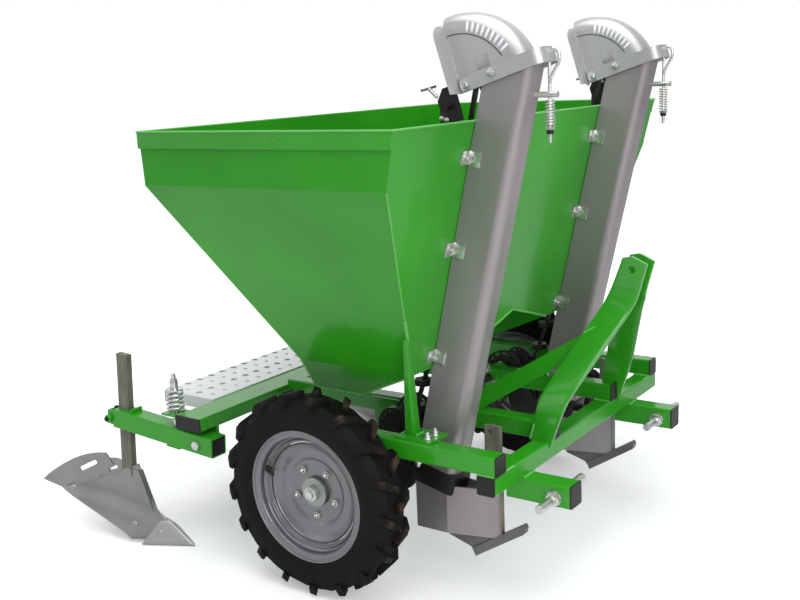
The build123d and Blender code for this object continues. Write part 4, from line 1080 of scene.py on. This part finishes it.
    def mast(self) -> None:
        """Fold the two mast legs with round bends and drill their pin holes."""
        bench = self.bench
        heights = sorted({366.0 + 5.0 * step for step in range(97)} | {847.0, 861.0, 865.5})
        legs = []
        for hand in (-1, 1):
            leg = bench.level(bench.sheet(8, len(heights) - 1, partial(self.mast_corner, heights, hand)))
            bench.modify(leg, "SOLIDIFY", thickness=0.010, offset=-float(hand))
            hole = bench.put(bench.drum(40, 0.00975, 0.060), seat(at(662, 0, 831), (0, hand, 0)))
            legs.append(bench.soften(bench.pierce(leg, hole), 0.0012))
        piece = bench.settle(bench.join(legs), "folded_mast_legs", "frame", Look.MAST)
        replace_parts(piece, "mast_legs")

    def painted_shade_sheet(self) -> None:
        """Close the step's underside with a dark sheet that is painted shade: it darkens the step's holes as the
        shade beneath the step would, and the real step has no such sheet.
        """
        bench = self.bench
        # Painted shade: this black sheet stands in for the shade beneath the step, seen through its holes.
        sheet = bench.block((0.196, 0.888, 0.003), 0.0008)
        bench.settle(bench.put(sheet, Matrix.Translation(at(-598, 0, 394))), "step_underlay", "frame", Look.BLACK)

    def feet(self) -> None:
        """Sleeve each planting tube's foot in a black block whose black is painted shade, standing in for the tube's
        lower part in the shadow under the beam.
        """
        bench = self.bench
        for name, side in SIDES:
            # Painted shade: the sleeve's black stands for the shaded lower part of the tube.
            shade_sleeve = bench.soften(bench.block((0.096, 0.130, 0.062)), 0.010)
            base = at(wall_x(303) + 2 + 61, side * ROW_Y, 303)
            bench.settle(bench.put(shade_sleeve, seat(base, LEAN_UP)), f"foot_sleeve_{name}", "frame", Look.BLACK)

    def build(self) -> None:
        """Make all of it."""
        self.bolts()
        self.clips()
        self.pin_nuts()
        self.welds()
        self.step_rings()
        self.painted_shade_sheet()
        self.mast()
        self.feet()


@dataclass
class HopperTrim:
    """Rim roll, welded corner seams and rivets of the hopper, with sizes in millimetres."""

    bench: Bench
    rim_x: tuple = (-386.0, 416.0)
    rim_y: float = 744.0
    rim_z: float = 1242.0
    fold_y: float = 733.0
    fold_z: float = 1106.0
    floor_y: float = 490.0
    floor_z: float = 610.0
    sump_y: float = 419.0
    sump_z: float = 512.0
    rivets_x: tuple = (-285.0, -165.0, -42.0, 75.0)
    rivets_z: float = 1220.0

    def seams(self) -> None:
        """Weld the folded sheets at the four corners and along the sump."""
        runs = []
        for _, side in SIDES:
            low = at(wall_x(self.floor_z), side * self.floor_y, self.floor_z)
            mid = at(wall_x(self.fold_z), side * self.fold_y, self.fold_z)
            rear_low = at(-100, side * self.floor_y, self.floor_z)
            rear_mid = at(-383, side * self.fold_y, self.fold_z)
            sump_front, sump_rear = (at(x, side * self.sump_y, self.sump_z) for x in (50, -110))
            runs += [(low, low.lerp(mid, 0.34), 0.010), (low.lerp(mid, 0.34), mid, 0.0045),
                     (rear_mid, rear_low, 0.0045), (low, sump_front, 0.006), (rear_low, sump_rear, 0.006),
                     (sump_rear, sump_front, 0.006)]
        beads = [self.bench.bead(*run) for run in runs]
        # The seams are real; their lighter green is a painted highlight along the folds.
        self.bench.settle(self.bench.join(beads), "hopper_seams", "frame", Look.EDGE, 60.0)

    def lips(self) -> None:
        """Roll the rim and stiffen the front sheet's lower edge."""
        bench = self.bench
        (rear, front), y, z = self.rim_x, self.rim_y, self.rim_z
        corners = [at(rear, -y, z), at(front, -y, z), at(front, y, z), at(rear, y, z)]
        rolls = [bench.rod([a, b], 0.0028) for a, b in zip(corners, corners[1:] + corners[:1])]
        # The rolled rim is real; its lighter green is a painted highlight.
        bench.settle(bench.join(rolls), "rim_roll", "frame", Look.EDGE)
        low = [at(wall_x(612) + 2, side * 236, 612) for side in (-1, 1)]
        peak = at(wall_x(684) + 2, 0, 684)
        lip = bench.rod([low[0], peak, low[1]], 0.004)
        # The lip is real; its lighter green is a painted highlight.
        bench.settle(lip, "front_lip", "frame", Look.EDGE)

    def rivets(self) -> None:
        """Set the small round heads along the rim band."""
        bench = self.bench
        places = [seat(at(x, side * self.rim_y, self.rivets_z), (0, side, 0)) for _, side in SIDES
                  for x in self.rivets_x]
        bench.settle(bench.stamp(bench.dome(0.0055, 0.0025), places), "rim_rivets", "frame", Look.GREEN)

    def build(self) -> None:
        """Make all of it."""
        self.seams()
        self.lips()
        self.rivets()


@dataclass
class HeadTrim:
    """Seams, crimps, bolts, hooks and knocker details of the two tube heads."""

    bench: Bench
    half_width: float = 46.4
    seam_radius: float = 0.140
    crimp_circle: float = 156.0
    crimp_pitch: float = 5.2

    def seam(self, name: str, y: float) -> None:
        """Draw the dark seam and the crimped band on both faces of one head, the crimps in the near-white step
        finish as a painted highlight.

        Args:
            name: The head's side name.
            y: The row's place.
        """
        bench = self.bench
        arcs, crimps = [], []
        for hand in (-1, 1):
            face = y + hand * self.half_width
            arc = bench.put(bench.hoop(self.seam_radius, 0.0011, 96), seat(head_at(0, 0, face), (0, hand, 0)))
            origin = head_at(0, 0, face)
            arcs.append(bench.cut(arc, lambda p, o=origin: (p - o).dot(HEAD_WAY) < 0.004
                                  or (p - o).dot(HEAD_UP) < 0.046))
            for index in range(9):
                turn = radians(66 - self.crimp_pitch * index)
                circle = self.crimp_circle
                spot = head_at(circle * cos(turn), circle * sin(turn), face - hand * 0.6)
                way = cos(turn) * HEAD_WAY + sin(turn) * HEAD_UP
                crimps.append((spot, way))
        bench.settle(bench.join(arcs), f"head_seam_{name}", "frame", Look.BLACK)
        ridge = bench.dome(0.0036, 0.013)
        # Painted highlight: the crimp bumps wear the near-white galvanised finish so they show as white dashes.
        bench.settle(bench.stamp(ridge, [seat(*crimp) for crimp in crimps]), f"head_crimps_{name}", "frame",
                     Look.STEP, 60.0)

    def tab(self, name: str, y: float) -> None:
        """Stand the small tabs beside the strap's second bolt, and lay a bright zinc strip along the cover's edge as
        a painted highlight of its fold.

        Args:
            name: The head's side name.
            y: The row's place.
        """
        bench = self.bench
        tabs = []
        for hand in (-1, 1):
            plate = bench.soften(bench.block((0.034, 0.0016, 0.034)), 0.0005)
            place = Matrix.Translation(head_at(78, 50, y + hand * 47.2)) @ Matrix.Rotation(-TILT, 4, "Y")
            tabs.append(bench.put(plate, place))
        bench.settle(bench.join(tabs), f"head_tabs_{name}", "frame", Look.BRIGHT)
        # Painted highlight: thin bright strips along the cover's folded edge.
        highlight_strips = []
        for hand in (-1, 1):
            strip = bench.block((0.0024, 0.0024, 0.150))
            edge = Matrix.Translation(head_at(2.4, 88, y + hand * 47.4)) @ Matrix.Rotation(-TILT, 4, "Y")
            highlight_strips.append(bench.put(strip, edge))
        bench.settle(bench.join(highlight_strips), f"head_edges_{name}", "frame", Look.ZINC)

    def bolts(self) -> None:
        """Bolt the straps to the heads."""
        bench = self.bench
        heads, nuts = [], []
        for _, side in SIDES:
            for hand in (-1, 1):
                y = side * ROW_Y + hand * 52
                heads.append(seat(at(397, y, 1327), (0, hand, 0), 0.2))
                nuts.append(seat(at(469, y, 1354), (0, hand, 0), 0.5))
        bench.settle(bench.stamp(bench.hex_bolt(0.016, 0.008, 0.028), heads), "strap_bolts", "frame", Look.ZINC)
        nut = bench.hex_bolt(0.015, 0.008, 0.022, 0.007)
        bench.settle(bench.stamp(nut, nuts), "strap_nuts", "frame", Look.ZINC)

    def hook(self, name: str, y: float) -> None:
        """Bend the tension rod's hook over the strap's nose.

        Args:
            name: The head's side name.
            y: The row's place.
        """
        bench = self.bench
        points = [at(594, y, 1388), at(597, y, 1397), at(604, y, 1402), at(612, y, 1400), at(618, y, 1392),
                  at(620, y, 1380), at(616, y, 1366), at(604, y, 1348), at(597, y, 1336), at(594, y, 1322)]
        bench.settle(bench.rod(points, 0.0040), f"rod_hook_{name}", "frame", Look.ZINC, 60.0)
        collar = bench.drum(20, 0.0085, 0.010, 0.001)
        bench.settle(bench.put(collar, Matrix.Translation(at(594, y, 1207))), f"rod_collar_{name}", "frame",
                     Look.BLACK)
        wing = bench.soften(bench.block((0.006, 0.034, 0.008)), 0.002)
        bench.settle(bench.put(wing, Matrix.Translation(at(608, y, 1298))), f"peg_wing_{name}", "frame", Look.ZINC)

    def knocker(self, name: str, side: int) -> None:
        """Add the knocker's stem, its bolts and its tee handle.

        Args:
            name: The head's side name.
            side: The head's side.
        """
        bench = self.bench
        y = side * 429
        stem = bench.soften(bench.block((0.026, 0.014, 0.090)), 0.003)
        bench.settle(bench.put(stem, Matrix.Translation(at(352, y, 1222))), f"knocker_stem_{name}", "frame",
                     Look.BLACK)
        spots = ((346, 1250), (360, 1246), (348, 1198), (360, 1200))
        small = [seat(at(x, y + side * 7, z), (0, side, 0)) for x, z in spots]
        bench.settle(bench.stamp(bench.hex_bolt(0.009, 0.004, 0.013), small), f"knocker_bolts_{name}", "frame",
                     Look.ZINC)
        tee = bench.rod([at(330, y, 1300), at(306, y, 1322)], 0.004)
        bar = bench.rod([at(300, y - 22, 1318), at(306, y, 1322), at(312, y + 22, 1326)], 0.0035)
        bench.settle(bench.join([tee, bar]), f"knocker_handle_{name}", "frame", Look.ZINC, 60.0)

    def build(self) -> None:
        """Make all of it."""
        self.bolts()
        for name, side in SIDES:
            self.seam(name, side * ROW_Y)
            self.tab(name, side * ROW_Y)
            self.hook(name, side * ROW_Y)
            self.knocker(name, side)


@dataclass
class OpenerTrim:
    """Small details of the furrow openers."""

    bench: Bench

    def build(self) -> None:
        """Set the shank bolts and weld the boots to the shanks."""
        bench = self.bench
        places, beads = [], []
        for _, side in SIDES:
            for hand in (-1, 1):
                y = side * ROW_Y + hand * 15
                places.append(seat(at(410, y, 366), (0, hand, 0), 0.3))
                seam = side * ROW_Y + hand * 8.5
                beads.append(bench.bead(at(440, seam, 165), at(440, seam, 284), 0.005))
        bench.settle(bench.stamp(bench.hex_bolt(0.017, 0.008, 0.026, 0.006), places), "clamp_bolts", "frame",
                     Look.ZINC)
        bench.settle(bench.join(beads), "boot_welds", "frame", Look.SILVER, 60.0)


@dataclass
class WheelTrim:
    """Nuts, pressed rim, rings and valve of one ground wheel, with sizes in millimetres."""

    bench: Bench
    name: str
    side: int
    stud_circle: float = 67.0
    well: tuple = ((183, 47), (183, 43), (163, 40), (163, 22), (146, 12), (146, -12), (163, -22), (163, -40),
                   (183, -43), (183, -47))
    dish: tuple = ((141, 12), (140, 8), (120, -2), (98, -2), (88, -10), (40, -10))
    ring_rows: tuple = ((180, 45.0, 3.6), (172, 43.0, 2.6), (163, 38.0, 2.8), (149, 20.0, 2.8),
                        (145, 12.5, 2.4), (92, -11.5, 1.8))

    @property
    def body(self) -> str:
        """Name the body that turns with the wheel."""
        return f"wheel_{self.name}"

    def spot(self, radius: float, angle: float, across: float) -> Vector:
        """Give a point of the wheel."""
        turn = radians(angle)
        return at(radius * cos(turn), self.side * (WHEEL_Y + across), 1000 * AXLE_Z + radius * sin(turn))

    def nuts(self) -> None:
        """Set the five wheel nuts with their domed studs, and the centre nut."""
        bench = self.bench
        way = (0, self.side, 0)
        turns = [18 + 72 * index for index in range(5)]
        nut = bench.join([bench.drum(28, 0.0125, 0.002, 0.0005),
                          bench.put(bench.drum(6, 0.0108, 0.010, 0.0012), Matrix.Translation((0, 0, 0.0018))),
                          bench.put(bench.dome(0.0072, 0.009), Matrix.Translation((0, 0, 0.0116)))])
        places = [seat(self.spot(self.stud_circle, turn * self.side, -10), way, 0.3 * turn) for turn in turns]
        bench.settle(bench.stamp(nut, places), f"wheel_nuts_{self.name}", self.body, Look.ZINC)
        parts = [bench.drum(6, 0.0225, 0.016, 0.0016), bench.drum(24, 0.0125, 0.024, 0.0012)]
        for height in (0.018, 0.020, 0.022):
            parts.append(bench.put(bench.hoop(0.0125, 0.0008, 24), Matrix.Translation((0, 0, height))))
        thread = bench.join(parts)
        bench.settle(bench.put(thread, seat(self.spot(0, 0, 7.2), way, 0.2)), f"axle_nut_{self.name}", self.body,
                     Look.ZINC)

    def pressing(self) -> None:
        """Press the rim's well and its dished disc."""
        bench = self.bench
        well = bench.pressed(self.well, 3.2)
        dish = bench.pressed(self.dish, 3.8)
        piece = bench.put(bench.join([well, dish]), seat(self.spot(0, 0, 0), (0, self.side, 0)))
        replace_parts(bench.settle(piece, f"pressed_rim_{self.name}", self.body, Look.RIM, 50.0), f"rim_{self.name}")

    def rings(self) -> None:
        """Roll the rim's edge and press the rings into its disc."""
        bench = self.bench
        way = (0, self.side, 0)
        rings = []
        for radius, across, wire in self.ring_rows:
            rings.append(bench.put(bench.hoop(radius / 1000, wire / 1000, 96), seat(self.spot(0, 0, across), way)))
        bench.settle(bench.join(rings), f"rim_rings_{self.name}", self.body, Look.RIM, 60.0)

    def valve(self) -> None:
        """Bend the valve out of the rim's well."""
        bench = self.bench
        root = self.spot(150, 158, 30)
        bend = self.spot(128, 156, 34)
        tip = self.spot(118, 150, 46)
        stem = bench.rod([root, bend, tip], 0.0045)
        clip = bench.soften(bench.block((0.030, 0.002, 0.012)), 0.0006)
        bench.put(clip, Matrix.Translation(self.spot(140, 164, 26)) @ Matrix.Rotation(radians(24), 4, "Y"))
        bench.settle(bench.join([stem, clip]), f"valve_{self.name}", self.body, Look.BLACK, 60.0)

    def build(self) -> None:
        """Make all of it."""
        self.nuts()
        self.pressing()
        self.rings()
        self.valve()


def rounded(across: float) -> float:
    """Give how far back from the ridge a corner lies, from 0 to 1, with the ridge itself rounded."""
    return (across * across + 0.0016) ** 0.5 - 0.0008


@dataclass
class RidgerTrim:
    """Curved body, share, wing plates, bolts, plug and small plates of one ridger.

    The body's rows give height, ridge, rear edge and half width in millimetres.
    """

    bench: Bench
    name: str
    side: int
    pivot_x: float = -419.0
    pivot_z: float = 344.0
    pitch: float = radians(4.0)
    rows: tuple = ((14.0, -515.0, -668.0, 76.0), (62.0, -612.0, -806.0, 81.0), (127.0, -668.0, -1006.0, 88.0),
                   (250.0, -702.0, -1010.0, 92.0))

    def __post_init__(self) -> None:
        """Work out the body's name and the arm's own directions."""
        self.body = f"ridger_{self.name}"
        self.fore = Vector((cos(self.pitch), 0.0, -sin(self.pitch)))
        self.rise = Vector((sin(self.pitch), 0.0, cos(self.pitch)))

    def section(self, z: float) -> tuple:
        """Read the body's rows at a height, eased over their corners.

        Args:
            z: The height in millimetres.

        Returns:
            The ridge, the rear edge and the half width in millimetres.
        """
        totals = (0.0, 0.0, 0.0)
        for shift in (-24.0, -12.0, 0.0, 12.0, 24.0):
            height = min(max(z + shift, self.rows[0][0]), self.rows[-1][0])
            for low, high in zip(self.rows, self.rows[1:]):
                if height <= high[0]:
                    share = (height - low[0]) / (high[0] - low[0])
                    totals = tuple(t + (a + share * (b - a)) for t, a, b in zip(totals, low[1:], high[1:]))
                    break
        return tuple(total / 5.0 for total in totals)

    def on_arm(self, along: float, across: float, up: float) -> Vector:
        """Give a point of the arm."""
        pivot = at(self.pivot_x, self.side * RIDGER_Y + across, self.pivot_z)
        return pivot + (along * self.fore + up * self.rise) / 1000

    def plug(self) -> None:
        """Plug the arm's open front with black plastic."""
        bench = self.bench
        cap = bench.soften(bench.block((0.0485, 0.0485, 0.004)), 0.0012)
        bench.settle(bench.put(cap, seat(self.on_arm(54, 0, 0), self.fore)), f"arm_plug_{self.name}", self.body,
                     Look.BLACK)

    def plates(self) -> None:
        """Stand the stop strip on the arm and weld the clamp and the stop plate."""
        bench = self.bench
        strip = bench.soften(bench.block((0.006, 0.044, 0.014)), 0.001)
        turn = Matrix.Rotation(self.pitch, 4, "Y")
        bench.put(strip, Matrix.Translation(self.on_arm(-284, 0, 35)) @ turn)
        stop = bench.soften(bench.block((0.052, 0.050, 0.007)), 0.001)
        bench.put(stop, Matrix.Translation(self.on_arm(-104, 0, -32)) @ turn)
        collar = bench.drum(24, 0.012, 0.014, 0.0012)
        bench.put(collar, seat(self.on_arm(-372, -25, -2), (0, -1, 0)))
        beads = [bench.bead(self.on_arm(-356, hand * 26, -21), self.on_arm(-356, hand * 26, 21), 0.006)
                 for hand in (-1, 1)]
        beads.append(bench.bead(self.on_arm(-284, -20, 29), self.on_arm(-284, 20, 29), 0.005))
        bench.settle(bench.join([strip, stop, collar] + beads), f"arm_plates_{self.name}", self.body, Look.GREEN)

    def bolts(self) -> None:
        """Set the clamp's set bolts and the spring bolt's nut."""
        bench = self.bench
        sets = [seat(self.on_arm(-372, -38, -2), (0, -1, 0), 0.4),
                seat(self.on_arm(-372, 0, 22), self.rise, 0.2)]
        bench.settle(bench.stamp(bench.hex_bolt(0.012, 0.006, 0.015), sets), f"clamp_set_bolts_{self.name}",
                     self.body, Look.DARK)
        tail = bench.hex_bolt(0.019, 0.010, 0.030, 0.010)
        bench.put(tail, seat(at(-524, self.side * RIDGER_Y, 510), (0, 0, 1)))
        bench.settle(tail, f"spring_bolt_nut_{self.name}", self.body, Look.ZINC)

    def share_corner(self, across: float, up: float) -> Vector:
        """Place one corner of the share.

        Args:
            across: From -1 at one wing through the ridge to 1 at the other.
            up: From -1 at the low edge to 1 at the top.

        Returns:
            The corner.
        """
        rise = (up + 1.0) / 2.0
        ridge, rear, half = -489.0 - 109.0 * rise, -644.0 + 22.0 * rise, 77.0 - 62.0 * rise
        return at(ridge + rounded(across) * (rear - ridge), self.side * RIDGER_Y + half * across, 6.0 + 56.0 * rise)

    def share(self) -> None:
        """Fold the three-cornered share over the body's toe, with ground edges."""
        bench = self.bench
        skin = bench.level(bench.sheet(40, 10, self.share_corner))
        bench.modify(skin, "SOLIDIFY", thickness=0.007, offset=-1.0)
        piece = bench.settle(bench.soften(skin, 0.0022), f"plough_share_{self.name}", self.body, Look.BRIGHT, 50.0)
        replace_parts(piece, f"ridger_share_{self.name}")

    def body_corner(self, across: float, up: float) -> Vector:
        """Place one corner of the body, whose slanting top edge is found by going over it again.

        Args:
            across: From -1 at one wing through the ridge to 1 at the other.
            up: From -1 at the low edge to 1 at the top.

        Returns:
            The corner.
        """
        rise, run, top = (up + 1.0) / 2.0, rounded(across), 200.0
        for _ in range(14):
            ridge, rear, _half = self.section(top)
            top = max(18.0, 236.0 + 0.3674 * (ridge + run * (rear - ridge) + 680.0))
        z = 14.0 + rise * (top - 14.0)
        ridge, rear, half = self.section(z)
        hollow = 11.0 * sin(pi * min(abs(across), 1.0)) * (0.35 + 0.65 * rise)
        y = (1 if across > 0 else -1) * max(0.0, half * abs(across) - hollow)
        return at(ridge + run * (rear - ridge), self.side * RIDGER_Y + y, z)

    def body_skin(self) -> None:
        """Draw the body as one hollow-faced sheet folded round its ridge, and block it to the shank."""
        bench = self.bench
        skin = bench.level(bench.sheet(56, 22, self.body_corner))
        bench.modify(skin, "SOLIDIFY", thickness=0.005, offset=-1.0)
        bench.soften(skin, 0.0012)
        turn = Matrix((Vector((1, 0, 0)), Vector((0, 0, 1)), Vector((0, -1, 0)))).transposed().to_4x4()
        block = bench.plate([(-776, 205), (-706, 205), (-655, 80), (-700, 80), (-776, 150)], 0.018)
        bench.put(block, Matrix.Translation(at(0, self.side * RIDGER_Y, 0)) @ turn)
        piece = bench.settle(bench.join([skin, block]), f"plough_body_{self.name}", self.body, Look.PLOUGH, 50.0)
        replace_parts(piece, f"ridger_body_{self.name}")

    def wings(self) -> None:
        """Cut the slotted wing plates, the outer one raised and the inner one slid down."""
        bench = self.bench
        sweep = radians(14.6)
        plates = []
        for hand in (-1, 1):
            drop = 0.0 if hand == self.side else -44.0
            arc = [(409.0 - 249.0 * k / 12, 142.0 + drop + 108.0 * sin(pi / 2 * k / 12) ** 0.9) for k in range(13)]
            blade = bench.plate(arc + [(136, 214 + drop), (200, 165 + drop), (330, 118 + drop)], 0.005)
            slot = bench.soften(bench.block((0.074, 0.014, 0.040)), 0.006)
            bench.pierce(blade, bench.put(slot, Matrix.Translation((0.230, 0.203 + drop / 1000, 0.0))
                                          @ Matrix.Rotation(radians(-26), 4, "Z")))
            stand = Matrix((Vector((-cos(sweep), hand * sin(sweep), 0)), Vector((0, 0, 1)),
                            Vector((hand * sin(sweep), cos(sweep), 0)))).transposed().to_4x4()
            place = Matrix.Translation(at(-668, self.side * RIDGER_Y - hand * 10.5, 0)) @ stand
            plates.append(bench.put(blade, place))
        piece = bench.settle(bench.join(plates), f"wing_blades_{self.name}", self.body, Look.PLOUGH)
        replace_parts(piece, f"ridger_wing_plates_{self.name}")

    def domes(self) -> None:
        """Set the domed bolts with their socket rings on both faces of body and share."""
        bench = self.bench
        places = []
        for hand in (-1, 1):
            for x, out, z, run, half in ((-947.0, 72.6, 127.3, 338, 88), (-700.2, 48.0, 47.0, 198, 81),
                                         (-612.2, 31.5, 32.5, 157, 77)):
                way = Vector((half, hand * run, half * 0.45)).normalized()
                places.append(seat(at(x, self.side * RIDGER_Y + hand * out, z), way))
        button = bench.join([bench.dome(0.0105, 0.0050),
                             bench.put(bench.hoop(0.0042, 0.0010, 20), Matrix.Translation((0, 0, 0.0046)))])
        bench.settle(bench.stamp(button, places), f"plough_bolts_{self.name}", self.body, Look.BRIGHT, 60.0)

    def build(self) -> None:
        """Make all of it."""
        self.share()
        self.body_skin()
        self.wings()
        self.plug()
        self.plates()
        self.bolts()
        self.domes()


def main() -> None:
    """Dress the nodes, add the fittings and set the studio."""
    logging.basicConfig(level=logging.INFO, format="%(message)s")
    bpy.ops.object.select_all(action="DESELECT")
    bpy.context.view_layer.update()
    palette = Palette()
    palette.dress_nodes()
    bench = Bench(palette)
    for trim in (FrameTrim(bench), HopperTrim(bench), HeadTrim(bench), OpenerTrim(bench)):
        trim.build()
    for name, side in SIDES:
        WheelTrim(bench, name, side).build()
        RidgerTrim(bench, name, side).build()
    Studio().build()


if __name__ == "__main__":
    main()
